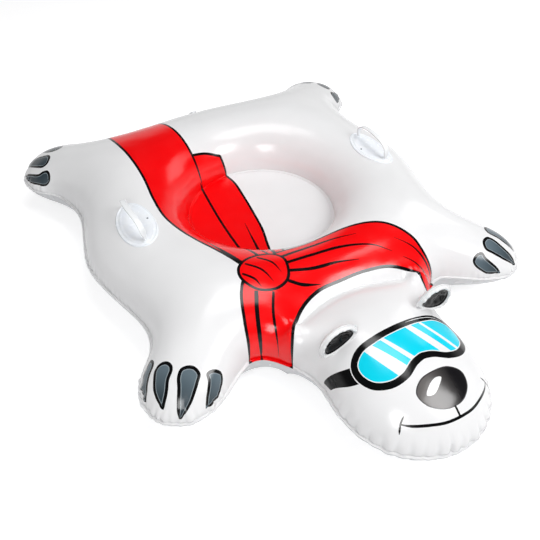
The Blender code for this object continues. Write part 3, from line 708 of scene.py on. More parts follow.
def inPanel(points):
    return inLoop(points, tabLoop) & (np.linalg.norm(points, axis=1) > form["seatRadius"] - form["seatWeld"])


# The points that keep off the lines, by less where the rings beside a weld crowd
def clearOf(points, lines):
    depth = np.minimum(weldPlace(points)[2], np.linalg.norm(points, axis=1) - form["seatRadius"])
    most, share = net["printRoom"]
    room = np.minimum(most, share * np.sqrt(np.clip(depth, 1e-7, 1)))
    return points[nearest(points, treeOf(np.concatenate(lines)))[1] > room]


def panelNet(ringDepths, step, printLoops):
    rings = [loop + leftNormals(loop) * depth for loop in (seamLoop, seatLoop) for depth in ringDepths]
    inner = lattice(step, np.abs(tabLoop).max(axis=0) + step)
    for loop in (seamLoop, seatLoop):
        inner = inner[nearest(inner, treeOf(loop))[1] > ringDepths[-1] + step / 2]
    free = np.concatenate(rings + [inner])
    free = free[inLoop(free, seamLoop) & (np.linalg.norm(free, axis=1) > form["seatRadius"])]
    free = free[nearest(free, valleyTree)[1] > net["valleyStep"] * net["valleyRoom"]]
    if printLoops:
        free = clearOf(free, printLoops)
    tabRows = [seamLoop - seamNormals * depth for depth in net["tabDepths"]]
    loops = [tabLoop, seamLoop, seatLoop, seatTabLoop] + printLoops
    return triangulated(loops, [valley], np.concatenate([free] + tabRows), inPanel)


# The bulge of a stretched membrane over the net, by conjugate gradients
def inflated(points, faces, held, heldValue):
    count = len(points)
    corners = points[faces]
    sides = corners[:, [2, 0, 1]] - corners[:, [1, 2, 0]]
    doubled = np.abs(sides[:, 0, 0] * sides[:, 1, 1] - sides[:, 0, 1] * sides[:, 1, 0])
    doubled = np.maximum(doubled, 1e-12)
    load = np.bincount(faces.ravel(), np.repeat(doubled / 6, 3), count)
    starts = np.concatenate([faces[:, 0], faces[:, 1], faces[:, 2]])
    ends = np.concatenate([faces[:, 1], faces[:, 2], faces[:, 0]])
    pairs = ((0, 1), (1, 2), (2, 0))
    weights = np.concatenate([-(sides[:, a] * sides[:, b]).sum(axis=1) / (2 * doubled) for a, b in pairs])

    def pulled(values):
        flow = weights * (values[starts] - values[ends])
        return np.bincount(starts, flow, count) - np.bincount(ends, flow, count)

    scale = np.bincount(starts, weights, count) + np.bincount(ends, weights, count)
    scale[scale <= 0] = 1
    bulge = np.where(held, heldValue, 0.0)
    rest = np.where(held, 0, load - pulled(bulge))
    along = rest / scale
    power = (rest * along).sum()
    first = power
    for turn in range(net["turns"]):
        pull = np.where(held, 0, pulled(along))
        share = power / (along * pull).sum()
        bulge += share * along
        rest -= share * pull
        ready = rest / scale
        newPower = (rest * ready).sum()
        if newPower < net["settled"] * first:
            break
        along = ready + along * newPower / power
        power = newPower
    print("membrane solved in", turn, "turns")
    return np.maximum(bulge, 0)


def vertexNormals(points, faces):
    corners = points[faces]
    normals = np.cross(corners[:, 1] - corners[:, 0], corners[:, 2] - corners[:, 0])
    out = [np.bincount(faces.ravel(), np.repeat(normals[:, axis], 3), len(points)) for axis in range(3)]
    out = np.stack(out, axis=1)
    return out / np.maximum(np.linalg.norm(out, axis=1, keepdims=True), 1e-12)


def smoothStep(low, high, value):
    share = np.clip((value - low) / (high - low), 0, 1)
    return share * share * (3 - 2 * share)


# How sharply a closed loop turns at each point, in 1/m, smoothed over some centimetres
def turnings(loop):
    after, before = np.roll(loop, -1, axis=0) - loop, loop - np.roll(loop, 1, axis=0)
    angle = np.arctan2(before[:, 0] * after[:, 1] - before[:, 1] * after[:, 0], (before * after).sum(axis=1))
    bend = angle / np.linalg.norm(after, axis=1)
    for _ in range(pleats["smoothTurns"]):
        bend = (np.roll(bend, 1) + 2 * bend + np.roll(bend, -1)) / 4
    return bend


# Where each pleat along a weld starts, how strong it is and how far in it reaches
def pleatRow(length, seed, spacing, size, reach):
    draw = np.random.default_rng(seed)
    starts = [0.0]
    while starts[-1] < length:
        starts.append(starts[-1] + draw.uniform(*spacing))
    starts = np.array(starts) * length / starts[-1]
    sizes = draw.uniform(*size, len(starts) - 1)
    reaches = draw.uniform(*reach, len(starts) - 1)
    return starts, sizes, reaches


# How far the film stands out at a length along the weld and a depth in from it, from 0 to 1
def pleatShape(row, along, depth):
    starts, sizes, reaches = row
    k = np.clip(np.searchsorted(starts, along, side="right") - 1, 0, len(sizes) - 1)
    t = np.clip((along - starts[k]) / (starts[k + 1] - starts[k]), 0, 1)
    pillow = np.sin(math.pi * t) ** pleats["roundness"]
    fade = smoothStep(0, pleats["start"], depth)
    fade *= 1 - smoothStep(pleats["fadeShare"] * reaches[k], reaches[k], depth)
    return sizes[k] * pillow * fade, sizes[k] * pillow


curveShare = np.clip(turnings(seamLoop) / pleats["fullCurve"], 0, 1)
seamStrength = pleats["straightShare"] + (1 - pleats["straightShare"]) * curveShare
inX, outX, backY, frontY = pleats["headEdges"]
headShare = 1 - np.clip((np.abs(seamLoop[:, 0]) - inX) / (outX - inX), 0, 1)
headShare *= np.clip((-seamLoop[:, 1] - backY) / (frontY - backY), 0, 1)
shift = pleats["headShift"]
pleatStrengths = seamStrength * (1 - shift * headShare), seamStrength * (1 - shift + shift * headShare)
pleatRows = [pleatRow(seamLength, *row) for row in pleats["rows"]]


def meshObject(name, points, faces):
    mesh = bpy.data.meshes.new(name)
    mesh.from_pydata([tuple(point) for point in points], [], [tuple(face) for face in faces])
    mesh.update()
    thing = bpy.data.objects.new(name, mesh)
    bpy.context.scene.collection.objects.link(thing)
    return thing


def makeActive(thing):
    bpy.ops.object.select_all(action="DESELECT")
    thing.select_set(True)
    bpy.context.view_layer.objects.active = thing


def shadeSmooth(thing, degrees=60):
    makeActive(thing)
    bpy.ops.object.shade_smooth_by_angle(angle=math.radians(degrees))


# Gives an open film its thickness, inwards
def thicken(thing, film):
    makeActive(thing)
    modifier = thing.modifiers.new("film", "SOLIDIFY")
    modifier.thickness, modifier.offset, modifier.use_even_offset = film, -1, False
    bpy.ops.object.modifier_apply(modifier=modifier.name)
    shadeSmooth(thing, 50)


def painted(middles):
    found = np.zeros(len(middles), int)
    for loop, ink, _, clip in prints:
        inside = inLoop(middles, loop)
        if clip is not None:
            inside &= inLoop(middles, clip)
        found[inside] = ink
    return found


# The tone at each point, which gives claws and nose their shading
def toned(points):
    found = np.zeros(len(points))
    for loop, _, places, _ in prints:
        if places is not None:
            first, last = np.array(places[0]), np.array(places[1])
            inside = inLoop(points, loop - leftNormals(loop) * drawing["toneReach"])
            share = (points[inside] - first) @ (last - first) / ((last - first) ** 2).sum()
            found[inside] = np.clip(share, 0, 1)
    return found


def addAttribute(thing, name, values):
    layer = thing.data.attributes.new(name, "FLOAT", "POINT")
    layer.data.foreach_set("value", np.array(values, np.float32))


# One half of the inflated body with its weld tabs. side is 1 for the upper film and -1 for the lower
def bodySkin(name, side, ringDepths, step, film, printLoops):
    plan, faces = panelNet(ringDepths, step, printLoops)
    near, along, depth = weldPlace(plan)
    radius = np.linalg.norm(plan, axis=1)
    seatDepth = radius - form["seatRadius"]
    held = (depth < net["touching"]) | (seatDepth < net["touching"])
    tied = nearest(plan, valleyTree)[1] < net["touching"]
    valleyBulge = (form["valleyHeight"] / form["puffShare"]) ** 2 / 2
    loose = inflated(plan, faces, held, np.zeros(len(plan)))
    letGo = smoothStep(*form["valleyLetGo"], np.abs(plan[:, 0]) / form["valleyEnd"][0])
    bulge = inflated(plan, faces, held | tied, np.where(tied, valleyBulge + (loose - valleyBulge) * letGo, 0))
    tabHeight = form["weldGap"] / 2 + film
    seatHeight = form["seatFilm"] / 2 + form["weldGap"] + film
    lowest = np.where(radius < form["seatRadius"] + form["seatSide"], seatHeight, tabHeight)
    heights = np.maximum(form["puffShare"] * np.sqrt(2 * bulge), lowest)
    points = np.column_stack([plan, heights])

    climb = np.where(seatDepth < form["seatSide"], 1, heights - tabHeight)
    normals = vertexNormals(points, faces)
    push, wave = np.zeros(len(plan)), np.zeros(len(plan))
    dentShare, dentReach = pleats["dent"]
    dent = dentShare * smoothStep(0, pleats["start"], climb) * (1 - smoothStep(0, dentReach, climb))
    for row, height, strengths in zip(pleatRows, pleats["heights"], pleatStrengths):
        bump, swell = pleatShape(row, along, climb)
        push += (bump - dent) * height * strengths[near]
        wave += (swell - pleats["middle"]) * strengths[near]
    points += normals * (push * (depth > net["touching"]))[:, None]
    fade = 1 - smoothStep(0, pleats["scallopReach"], climb)
    points[:, 2] += wave * side * pleats["seamRipple"] * fade
    points[:, :2] -= seamNormals[near] * (wave * pleats["scallop"] * fade)[:, None]
    out, height, width = pleats["bead"]
    points[:, 2] += height * np.exp(-(((depth + out) / width) ** 2)) * (depth < -pleats["beadStart"])
    if side > 0:
        reach = 1 - smoothStep(*valve["dipReach"], np.linalg.norm(plan - np.array(valve["place"]), axis=1))
        foot, top = valve["dipSpan"]
        points[:, 2] -= valve["dip"] * reach * np.clip((plan[:, 1] - foot) / (top - foot), 0, 1)

    ink = painted(plan[faces].mean(axis=1)) if printLoops else np.zeros(len(faces), int)
    points[:, 2] = seam + side * points[:, 2]
    points[:, :2] += seatCentre
    if side < 0:
        points[:, 2] = np.maximum(points[:, 2], 0)
        faces = faces[:, ::-1]
    thing = meshObject(name, points, faces)
    thing.data.polygons.foreach_set("material_index", ink)
    addAttribute(thing, "weldDepth", np.minimum(depth, seatDepth))
    addAttribute(thing, "tone", toned(plan))
    return thing, points, faces


body, skinPoints, skinFaces = bodySkin(
    "upperSkin", 1, net["ringDepths"], net["latticeStep"], form["film"], [entry[0] for entry in prints]
)
belly, _, _ = bodySkin("lowerSkin", -1, net["lowerRingDepths"], net["lowerLatticeStep"], form["lowerFilm"], [])
skinTree = BVHTree.FromPolygons([Vector(point) for point in skinPoints], [tuple(face) for face in skinFaces])
for thing, film in ((body, form["film"]), (belly, form["lowerFilm"])):
    thicken(thing, film)
    print(thing.name, len(thing.data.polygons), "faces")


# The seat's disc of film, flat under the weld and hanging a little inside it, with the print carried over it
def seatPanel():
    edge = form["seatRadius"] - 3 * form["weldGap"]
    flat = form["seatRadius"] - form["seatWeld"]
    rim, inner, *rings = [
        circleLoop(radius, seatCount)[::-1] for radius in (edge, *(flat - k * form["seatRings"] for k in range(4)))
    ]
    gridRoom, printRoom = form["seatRoom"]
    grid = lattice(net["latticeStep"], (edge, edge))
    grid = grid[np.linalg.norm(grid, axis=1) < flat - gridRoom]
    near = [entry[0] for entry in prints if (np.linalg.norm(entry[0], axis=1) < edge).any()]
    free = np.concatenate(rings + [grid])
    free = free[nearest(free, treeOf(np.concatenate(near)))[1] > printRoom]
    plan, faces = triangulated([rim, inner] + near, [], free, lambda spots: np.linalg.norm(spots, axis=1) < edge)
    radius = np.linalg.norm(plan, axis=1)
    z = seam + form["seatFilm"] / 2 - form["seatSag"] * np.maximum(0, 1 - (radius / flat) ** 2)
    thing = meshObject("seatFilm", np.column_stack([plan + seatCentre, z]), faces)
    thing.data.polygons.foreach_set("material_index", painted(plan[faces].mean(axis=1)))
    thicken(thing, form["seatFilm"])
    return thing


seat = seatPanel()


# What stands on the upper film

# The height of the upper film under a place in the frame
def skinHeight(x, y):
    spot, _, _, _ = skinTree.ray_cast(Vector((x, y, 1)), Vector((0, 0, -1)))
    return spot.z


# The point of the upper film over a place in plan, and the normal there
def skinPlace(x, y, reach=form["slopeReach"]):
    x, y = x + seatCentre[0], y + seatCentre[1]
    riseX = (skinHeight(x + reach, y) - skinHeight(x - reach, y)) / (2 * reach)
    riseY = (skinHeight(x, y + reach) - skinHeight(x, y - reach)) / (2 * reach)
    return Vector((x, y, skinHeight(x, y))), Vector((-riseX, -riseY, 1)).normalized()


# A closed mesh between two like sets of points that the same faces join
def closedSlab(name, top, bottom, faces):
    count = len(top)
    ends = np.concatenate([faces[:, [0, 1]], faces[:, [1, 2]], faces[:, [2, 0]]])
    known = {tuple(pair) for pair in ends.tolist()}
    rim = [(a, b) for a, b in ends.tolist() if (b, a) not in known]
    allFaces = [tuple(face) for face in faces.tolist()]
    allFaces += [tuple(k + count for k in face[::-1]) for face in allFaces]
    allFaces += [(b, a, a + count, b + count) for a, b in rim]
    return meshObject(name, np.concatenate([top, bottom]), allFaces)


# A closed oval, counter-clockwise, whose upper and lower halves may differ
def ovalPoints(halfWidth, top, bottom, step):
    angles = np.linspace(0, 2 * math.pi, 241)
    up = np.where(np.sin(angles) > 0, top, bottom)
    return respaced(np.stack([halfWidth * np.cos(angles), up * np.sin(angles)], axis=1), step)[:-1]


# The index of the nearest point of a closed loop to each point, and the depth in from the loop
def loopPlace(points, loop):
    near, _ = nearest(points, treeOf(loop))
    return near, ((points - loop[near]) * leftNormals(loop)[near]).sum(axis=1)


# A triangle net inside a closed loop, with each point's place beside the loop
def ovalNet(outline, step, ringDepths):
    rings = [outline + leftNormals(outline) * depth for depth in ringDepths]
    inner = lattice(step, np.abs(outline).max(axis=0) + step)
    free = np.concatenate(rings + [inner])
    free = free[inLoop(free, outline)]
    gaps = nearest(free, treeOf(outline))[1]
    ringCount = sum(inLoop(ring, outline).sum() for ring in rings)
    keep = (np.arange(len(free)) < ringCount) | (gaps > ringDepths[-1] + step / 2)
    free = free[keep]
    plan, faces = triangulated([outline], [], free, lambda spots: inLoop(spots, outline))
    return plan, faces, *loopPlace(plan, outline)


ear = {
    "x": 0.102,
    "shift": 0.007,
    "y": -0.483,
    # half width, rise, drop and middle height of the lobe's outline and of the dark lining's
    "outline": (0.040, 0.0445, 0.0185, 0.0125),
    "liningOutline": (0.0308, 0.0352, 0.0128, 0.0150),
    "weld": 0.0025,
    "tab": 0.0005,
    "lean": -2,
    "roll": 26,
    "toe": -2,
    "rimWidth": 0.0085,
    "rimHeight": 0.0052,
    "rimFade": 1.6,            # half rims in from the edge, where the front's pleats end
    "backShare": 0.46,
    "hollow": (0.0016, 0.0080, 0.7, 0.024),     # height at the rim, how far it sinks, from where and to where
    "film": 0.0006,
    "pleats": ((0.00686, 0.01372), (0.3, 1), (0.010, 0.022)),   # spacings, sizes and reaches
    "pleatHeight": 0.0026,
    "backPleats": 1.3,
    "ripple": (0.0008, 0.006),
    "step": 0.0017,
    "outlineSteps": (0.0013, 0.0011),
    "rings": (0.0013, 0.0025, 0.0028, 0.0036, 0.0049, 0.0064),  # the second lies at the end of the weld
    "liningRings": (0.0008, 0.0018),
    "liningGap": 0.0006,
    "liningEdge": (0.0018, 0.0025),
    # count, sizes, waves per metre, height and the width of the edge without any
    "creases": (6, (0.2, 0.7), (90, 190), 0.0012, 0.006),
}


# Where an ear stands: X across it, Y up it and Z out of its front
def earFrame(side):
    root, _ = skinPlace(side * ear["x"] + ear["shift"], ear["y"])
    toe = Matrix.Rotation(math.radians(side * ear["toe"]), 4, "Z")
    lean = Matrix.Rotation(math.radians(90 - ear["lean"]), 4, "X")
    roll = Matrix.Rotation(math.radians(-side * ear["roll"]), 4, "Z")
    return Matrix.Translation(root) @ toe @ lean @ roll


def placed(points, matrix):
    matrix = np.array(matrix)
    return points @ matrix[:3, :3].T + matrix[:3, 3]


def earOutline(name, step):
    halfWidth, rise, drop, middle = ear[name]
    return ovalPoints(halfWidth, rise, drop, step) + np.array([0, middle])


# The front of the film inside the rim, which sinks to the middle of the hollow
def hollowHeight(depth):
    height, sunk, start, end = ear["hollow"]
    return height - sunk * smoothStep(start * ear["rimWidth"], end, depth)


def earPiece(name, side, plan, faces, high, low):
    top, bottom = (placed(np.column_stack([plan, height]), earFrame(side)) for height in (high, low))
    piece = closedSlab(name, top, bottom, faces)
    shadeSmooth(piece)
    return piece


# An inflated lobe with a puffed rim round its front, and the dark film that lines the hollow inside the rim
def addEar(name, side, seed):
    step, liningStep = ear["outlineSteps"]
    outline = earOutline("outline", step)
    edge = outline - leftNormals(outline) * ear["weld"]
    plan, faces, near, depth = ovalNet(edge, ear["step"], ear["rings"])
    depth = depth - ear["weld"]
    held = depth < net["touching"]
    dome = ear["backShare"] * np.sqrt(2 * inflated(plan, faces, held, np.zeros(len(plan))))
    length = len(outline) * step
    bump, wave = pleatShape(pleatRow(length, seed, *ear["pleats"]), near * length / len(outline), depth)
    half, bowl, tab = ear["rimWidth"] / 2, hollowHeight(depth), ear["tab"]
    rim = ear["rimHeight"] * np.sqrt(np.maximum(0, 1 - ((depth - half) / half) ** 2))
    front = np.where(depth < half, rim, np.where(depth < 2 * half, np.maximum(rim, bowl), bowl))
    front = front + bump * ear["pleatHeight"] * (depth < ear["rimFade"] * half)
    back = np.maximum(dome + bump * ear["pleatHeight"] * ear["backPleats"], tab - np.minimum(bowl, 0))
    front, back = np.where(held, tab, front), np.where(held, tab, back)
    height, reach = ear["ripple"]
    ripple = (wave - pleats["middle"]) * height * (1 - smoothStep(0, reach, depth))
    pad = earPiece(name + "Pad", side, plan, faces, front + ripple, -back + ripple)

    plan, faces, _, depth = ovalNet(earOutline("liningOutline", liningStep), ear["step"], ear["liningRings"])
    draw = np.random.default_rng(seed)
    count, sizes, waves, height, bare = ear["creases"]
    creases = 0
    for _ in range(count):
        size, way = draw.uniform(*sizes), draw.normal(0, 1, 2)
        creases = creases + size * np.abs(np.sin((plan @ way) * draw.uniform(*waves) + draw.uniform(0, 6)))
    rise = hollowHeight(loopPlace(plan, outline)[1]) + ear["film"] + ear["liningGap"]
    rise = rise + height * creases * smoothStep(0, bare, depth)
    height, reach = ear["liningEdge"]
    rise = rise + height * (1 - smoothStep(0, reach, depth))
    return pad, earPiece(name + "Lining", side, plan, faces, rise, rise - ear["film"])


handle = {
    "x": 0.312,
    "y": -0.010,
    "length": 0.150,
    "width": 0.084,
    "film": 0.0011,
    "gap": (0.0002, 0.0003),   # from the tube to the patch's underside, and to its top at the edge
    "edgeRound": (-0.0005, 0.0016),
    "beads": ((0.0024, 0.0012, 0.0014), (0.0100, 0.0010, 0.0012)),      # depth in from the edge, height and width
    "steps": (0.0016, 0.0024),
    "rings": (0.0008, 0.0018, 0.0028, 0.0038, 0.0050, 0.0064, 0.0078, 0.0092, 0.0108),
    # seed, count, half spans, height, width and length
    "creases": (31, 9, (0.02, 0.05), 0.0005, 0.0025, 0.014),
    "pip": (0.027, 0.005),     # a small grey dome towards the seat, which shows as a dark dot
    "pipRadius": 0.0023,
    "pipLift": 0.0004,
    "pipFlatness": 0.5,
    "boss": (0.0085, 0.011, 0.0024, 0.55),     # half width, half length, height and flat share, at each foot
    "span": 0.116,
    "rise": 0.038,
    "squareness": 0.42,        # 1 is a round arch, and less has squarer shoulders
    "flop": {"gripLeft": 0, "gripRight": -0.010},       # how far the strap leans, more at one end
    "flopSkew": 0.5,
    "sink": (0.0015, 0.0005),           # how deep the ends go into the patch
    "strapStep": 0.0026,
    "strapSides": 28,
    "strapWidth": 0.0125,
    "strapThickness": 0.0028,
    "strapCorners": 0.55,      # 1 is an oval section, and less has squarer corners
    "strapBead": (0.45, 0.86, 0.0011),  # share of the thickness, place across and width of the rolled edge
    "foot": (0.00306, 0.00255),         # half width and half depth
    "taper": 0.020,
}


# The oval base that is welded on the tube's crest, with two beads round its edge and a boss at each foot
def addPatch(name, side):
    halfWidth, halfLength = handle["width"] / 2, handle["length"] / 2
    outlineStep, step = handle["steps"]
    outline = ovalPoints(halfWidth, halfLength, halfLength, outlineStep)
    plan, faces, _, depth = ovalNet(outline, step, handle["rings"])
    low, high = handle["gap"]
    lift = np.full(len(plan), handle["film"])
    for place, height, width in handle["beads"]:
        lift += height * np.exp(-(((depth - place) / width) ** 2))
    lift *= smoothStep(*handle["edgeRound"], depth)
    lift += high
    width, length, height, flat = handle["boss"]
    for end in (-1, 1):
        off = np.hypot(plan[:, 0] / width, (plan[:, 1] - end * handle["span"] / 2) / length)
        lift += height * (1 - smoothStep(flat, 1, off))
    seed, count, spans, height, width, length = handle["creases"]
    draw = np.random.default_rng(seed + side)
    for _ in range(count):
        offX, offY = (plan - np.array([draw.uniform(-span, span) for span in spans])).T
        turn = draw.uniform(0, math.pi)
        across = offX * math.cos(turn) + offY * math.sin(turn)
        lengthwise = -offX * math.sin(turn) + offY * math.cos(turn)
        lift += height * np.exp(-((across / width) ** 2) - (lengthwise / length) ** 2)
    spots = [skinPlace(side * handle["x"] + x, handle["y"] + y) for x, y in plan]
    under = np.array([spot + normal * low for spot, normal in spots])
    over = np.array([spot + normal * float(up) for (spot, normal), up in zip(spots, lift)])
    patch = closedSlab(name, over, under, faces)
    shadeSmooth(patch)
    return patch


# A small grey dome on the patch, which shows as a dark dot there
def addPip(name, side):
    offX, offY = handle["pip"]
    root, normal = skinPlace(side * (handle["x"] - offX), handle["y"] + offY)
    bpy.ops.mesh.primitive_uv_sphere_add(
        segments=20,
        ring_count=10,
        radius=handle["pipRadius"],
        location=root + normal * (handle["film"] + handle["pipLift"]),
        rotation=normal.to_track_quat("Z", "Y").to_euler(),
        scale=(1, 1, handle["pipFlatness"]),
    )
    pip = bpy.context.object
    pip.name = name
    bpy.ops.object.transform_apply(location=True, rotation=True, scale=True)
    shadeSmooth(pip)
    return pip


# An arched strap with a rolled edge, narrowing to a round foot at each end. Both feet turn about Y
def addGrip(name, side):
    word = "left" if side > 0 else "right"
    joint = next(joint for joint in frame["joints"] if joint["name"] == word + "_grip_hinge")
    origin, axis = Vector(joint["pos_m"]), Vector(joint["axis"])
    up = Vector((0, 0, 1))
    up = (up - axis * up.dot(axis)).normalized()
    across = axis.cross(up)
    halfSpan, rise = handle["span"] / 2, handle["rise"]
    angles = np.linspace(0, math.pi, 65)
    path = np.stack([-halfSpan * np.cos(angles), rise * np.sin(angles) ** handle["squareness"]], axis=1)
    lead = [(-halfSpan, -depth) for depth in handle["sink"]]
    path = respaced(np.concatenate([lead, path, [(-y, z) for y, z in lead[::-1]]]), handle["strapStep"])
    run = np.gradient(path, axis=0)
    run /= np.linalg.norm(run, axis=1, keepdims=True)
    lengths = np.concatenate([[0], np.cumsum(np.linalg.norm(np.diff(path, axis=0), axis=1))])
    section = np.linspace(0, 2 * math.pi, handle["strapSides"] + 1)[:-1]
    beadShare, beadPlace, beadWidth = handle["strapBead"]
    footWidth, footDepth = handle["foot"]
    points = []
    for (y, z), (runY, runZ), length in zip(path, run, lengths):
        share = smoothStep(0, handle["taper"], min(length, lengths[-1] - length))
        halfWidth = footWidth + (handle["strapWidth"] / 2 - footWidth) * share
        halfDepth = footDepth + (handle["strapThickness"] / 2 - footDepth) * share
        arch = math.pi * length / lengths[-1]
        flop = handle["flop"][name] * math.sin(arch) * (1 - handle["flopSkew"] * math.cos(arch))
        for angle in section:
            c, t = (math.copysign(abs(v) ** handle["strapCorners"], v) for v in (math.cos(angle), math.sin(angle)))
            wide = halfWidth * c
            bead = 1 + beadShare * share * math.exp(-(((abs(wide) - halfWidth * beadPlace) / beadWidth) ** 2))
            deep = halfDepth * t * bead
            spot = origin + across * wide + axis * (y - runZ * deep) + up * (z + runY * deep)
            spot.x += flop
            points.append(tuple(spot))
    rings = np.arange(len(points)).reshape(-1, len(section)).tolist()
    faces = [tuple(rings[0]), tuple(rings[-1][::-1])]
    for first, second in zip(rings, rings[1:]):
        faces += [(first[k - 1], first[k], second[k], second[k - 1]) for k in range(len(first))]
    grip = meshObject(name, points, faces)
    makeActive(grip)
    bpy.ops.object.mode_set(mode="EDIT")
    bpy.ops.mesh.select_all(action="SELECT")
    bpy.ops.mesh.normals_make_consistent(inside=False)
    bpy.ops.object.mode_set(mode="OBJECT")
    shadeSmooth(grip)
    return grip


ears = [addEar("earLeft", 1, 41), addEar("earRight", -1, 43)]
patches = [addPatch("patchLeft", 1), addPatch("patchRight", -1)]
pips = [addPip("pipLeft", 1), addPip("pipRight", -1)]
grips = [addGrip("gripLeft", 1), addGrip("gripRight", -1)]
print("ears and handles made")


# Finishes

finish = {
    # Colour and roughness, with a second colour for where the print's tone is 1 or the sheet is cloudy
    "white": ("#eeeeef", 0.17),
    "underside": ("#e3e4e6", 0.24),
    "seat": ("#eeeff0", 0.19),
    "red": ("#f80006", 0.17),
    "black": ("#08080a", 0.13),
    "claw": ("#62717a", "#18242b", 0.17),
    "clawRim": ("#8f9aa0", 0.17),
    "lens": ("#00d6ef", 0.17),
    "nose": ("#5e5a59", "#141316", 0.17),
    "noseRim": ("#3b393b", 0.17),
    "pip": ("#7b7f86", 0.30),
    "sheet": ("#f1f6ff", "#fafcfd", 0.22),
    "strap": ("#f8fafd", "#fafcfd", 0.20),
    "moulded": ("#e9eaec", "#fafcfd", 0.30),
    "strapClear": 0.08,
    "pvcIor": 1.53,
    "earIor": 1.36,
    # Sizes and details of noise, and what it runs between: shares of the colour, or roughness less and more
    "noiseSpan": (0.3, 0.7),
    "mottle": (0.11, 2, 0.965, 1.0),
    "gloss": (0.035, 1, -0.03, 0.04),
    "sheetCloud": (0.020, 2),
    "sheetGloss": (0.012, 1, -0.05, 0.06),
    # Sizes, details and heights of bumps
    "ripple": (0.060, 1, 0.0010),       # slack in the film, which bends the reflections a little
    "grain": (0.0030, 1, 0.00004),      # calender grain, drawn coarser than the real 0.3 mm so that it shows
    "sheetGrain": (0.0016, 2, 0.00006),
    # The heat-seal bar's print along the welds: its height, its span of depths and its levels over that
    "sealHeight": 0.0005,
    "sealSpan": (-0.0062, 0.0006),
    "seal": ((0.0, 0.2), (0.10, 1.0), (0.22, 0.1), (0.76, 0.1), (0.86, 1.0), (0.97, 0.4)),
}


# A value that wanders in patches of a size between two others
def varied(tree, place, size, detail, low, high):
    noise = addNode(tree, "ShaderNodeTexNoise", {"Vector": place, "Scale": 1 / size, "Detail": detail})
    first, last = finish["noiseSpan"]
    inputs = {"Value": noise, "From Min": first, "From Max": last, "To Min": low, "To Max": high}
    return addNode(tree, "ShaderNodeMapRange", inputs)


# The surface's slope with bumps added to what it has
def bumps(tree, place, size, detail, height, **slope):
    noise = addNode(tree, "ShaderNodeTexNoise", {"Vector": place, "Scale": 1 / size, "Detail": detail})
    return addNode(tree, "ShaderNodeBump", {"Height": noise, "Distance": height} | slope)


def finished(material, tree, inputs):
    shader = addNode(tree, "ShaderNodeBsdfPrincipled", inputs)
    addNode(tree, "ShaderNodeOutputMaterial", {"Surface": shader})
    return material


# Calendered PVC film, blown tight. It gives glossy, slightly wobbly reflections, and its welds are pressed flat
def filmMaterial(name, look, welded=True, ior=finish["pvcIor"]):
    material, tree = newMaterial(name)
    place = addNode(tree, "ShaderNodeTexCoord").outputs["Object"]
    *colours, roughness = finish[look]
    base, *second = map(linearColour, colours)
    if second:
        tone = addNode(tree, "ShaderNodeAttribute", attribute_name="tone").outputs["Fac"]
        base = addNode(tree, "ShaderNodeMix", {0: tone, 6: base, 7: second[0]}, data_type="RGBA").outputs[2]
    inputs = {0: 1, 6: base, 7: varied(tree, place, *finish["mottle"])}
    shade = addNode(tree, "ShaderNodeMix", inputs, data_type="RGBA", blend_type="MULTIPLY").outputs[2]
    size, detail, less, more = finish["gloss"]
    gloss = varied(tree, place, size, detail, roughness + less, roughness + more)
    normal = bumps(tree, place, *finish["grain"], Normal=bumps(tree, place, *finish["ripple"]))
    if welded:
        depth = addNode(tree, "ShaderNodeAttribute", attribute_name="weldDepth").outputs["Fac"]
        low, high = finish["sealSpan"]
        share = addNode(tree, "ShaderNodeMapRange", {"Value": depth, "From Min": low, "From Max": high})
        seal = addNode(tree, "ShaderNodeValToRGB", {"Fac": share})
        for spot, _ in finish["seal"][1:-1]:
            seal.color_ramp.elements.new(spot)
        for element, (spot, level) in zip(seal.color_ramp.elements, finish["seal"]):
            element.position, element.color = spot, (level, level, level, 1)
        inputs = {"Height": seal, "Distance": finish["sealHeight"], "Normal": normal}
        normal = addNode(tree, "ShaderNodeBump", inputs)
    return finished(material, tree, {"Base Color": shade, "Roughness": gloss, "IOR": ior, "Normal": normal})
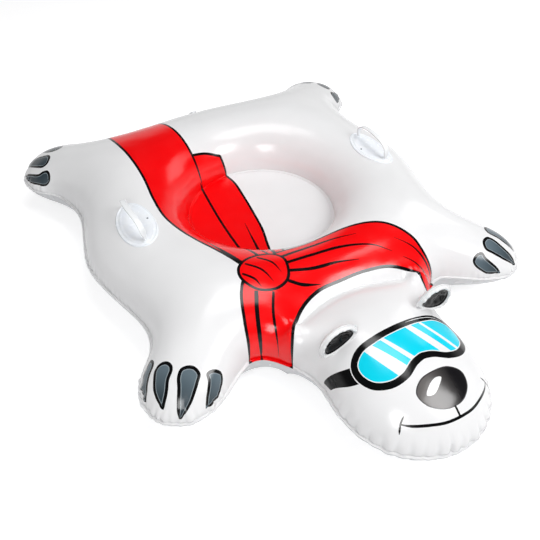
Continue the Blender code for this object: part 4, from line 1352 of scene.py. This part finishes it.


# Milky PVC sheet about 1 mm thick, bluish white over the white film. clear is the share of light that goes through
# it
def sheetMaterial(name, look, clear=0):
    material, tree = newMaterial(name)
    place = addNode(tree, "ShaderNodeTexCoord").outputs["Object"]
    first, last, roughness = finish[look]
    size, detail = finish["sheetCloud"]
    cloud = addNode(tree, "ShaderNodeTexNoise", {"Vector": place, "Scale": 1 / size, "Detail": detail})
    inputs = {0: cloud, 6: linearColour(first), 7: linearColour(last)}
    colour = addNode(tree, "ShaderNodeMix", inputs, data_type="RGBA").outputs[2]
    size, detail, less, more = finish["sheetGloss"]
    gloss = varied(tree, place, size, detail, roughness + less, roughness + more)
    inputs = {"Base Color": colour, "Roughness": gloss, "IOR": finish["pvcIor"], "Transmission Weight": clear}
    return finished(material, tree, inputs | {"Normal": bumps(tree, place, *finish["sheetGrain"])})


inkNames = (
    "white PVC film",
    "red gravure ink on PVC film",
    "black gravure ink on PVC film",
    "blue-grey gravure ink on PVC film",
    "pale grey gravure ink on PVC film",
    "cyan gravure ink on PVC film",
    "grey to black gravure ink on PVC film",
    "dark grey gravure ink on PVC film",
)
filmLooks = [filmMaterial(name, ink) for name, ink in zip(inkNames, inks)]
underside = filmMaterial("white PVC film of the underside", "underside")
seatWhite = filmMaterial("white PVC film of the seat", "seat", welded=False)
for thing, looks, node, slotName in (
    (body, filmLooks, "upper_shell", "white_film"),
    (belly, [underside], "lower_shell", "underside_film"),
    (seat, [seatWhite] + filmLooks[1:], "seat_panel", "seat_film"),
):
    for look in looks:
        thing.data.materials.append(look)
    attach(thing, "tube")
    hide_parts(node)
earWhite = filmMaterial("white PVC film of the ears", "white", welded=False)
earBlack = filmMaterial("black gravure ink on the ears' film", "black", welded=False, ior=finish["earIor"])
milky = sheetMaterial("milky PVC sheet, welded", "sheet")
strap = sheetMaterial("milky PVC, moulded strap", "strap", finish["strapClear"])
moulded = sheetMaterial("white PVC, injection moulded", "moulded")
# The grey dome gives each patch a dark dot
greyDot = filmMaterial("grey PVC dot on the patch", "pip", welded=False)
for (pad, lining), word in zip(ears, ("left", "right")):
    pad.data.materials.append(earWhite)
    lining.data.materials.append(earBlack)
    for thing in (pad, lining):
        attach(thing, "tube")
    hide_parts(f"ear_{word}_back")
    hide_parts(f"ear_{word}_front")
for patch, pip, grip, word in zip(patches, pips, grips, ("left", "right")):
    pip.data.materials.append(greyDot)
    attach(pip, "tube")
    patch.data.materials.append(milky)
    grip.data.materials.append(strap)
    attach(patch, "tube")
    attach(grip, f"{word}_grip")
    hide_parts(f"handle_{word}_patch")
    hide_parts(f"handle_{word}_grip")
nodeLooks = {"neck_baffle": earWhite, "valve_base": moulded, "valve_stopper": moulded, "valve_flap": milky}
for name, look in nodeLooks.items():
    node = frame["nodes"][name]
    for k in range(len(node.data.materials)):
        node.data.materials[k] = look
print("finishes made")

bpy.context.view_layer.update()
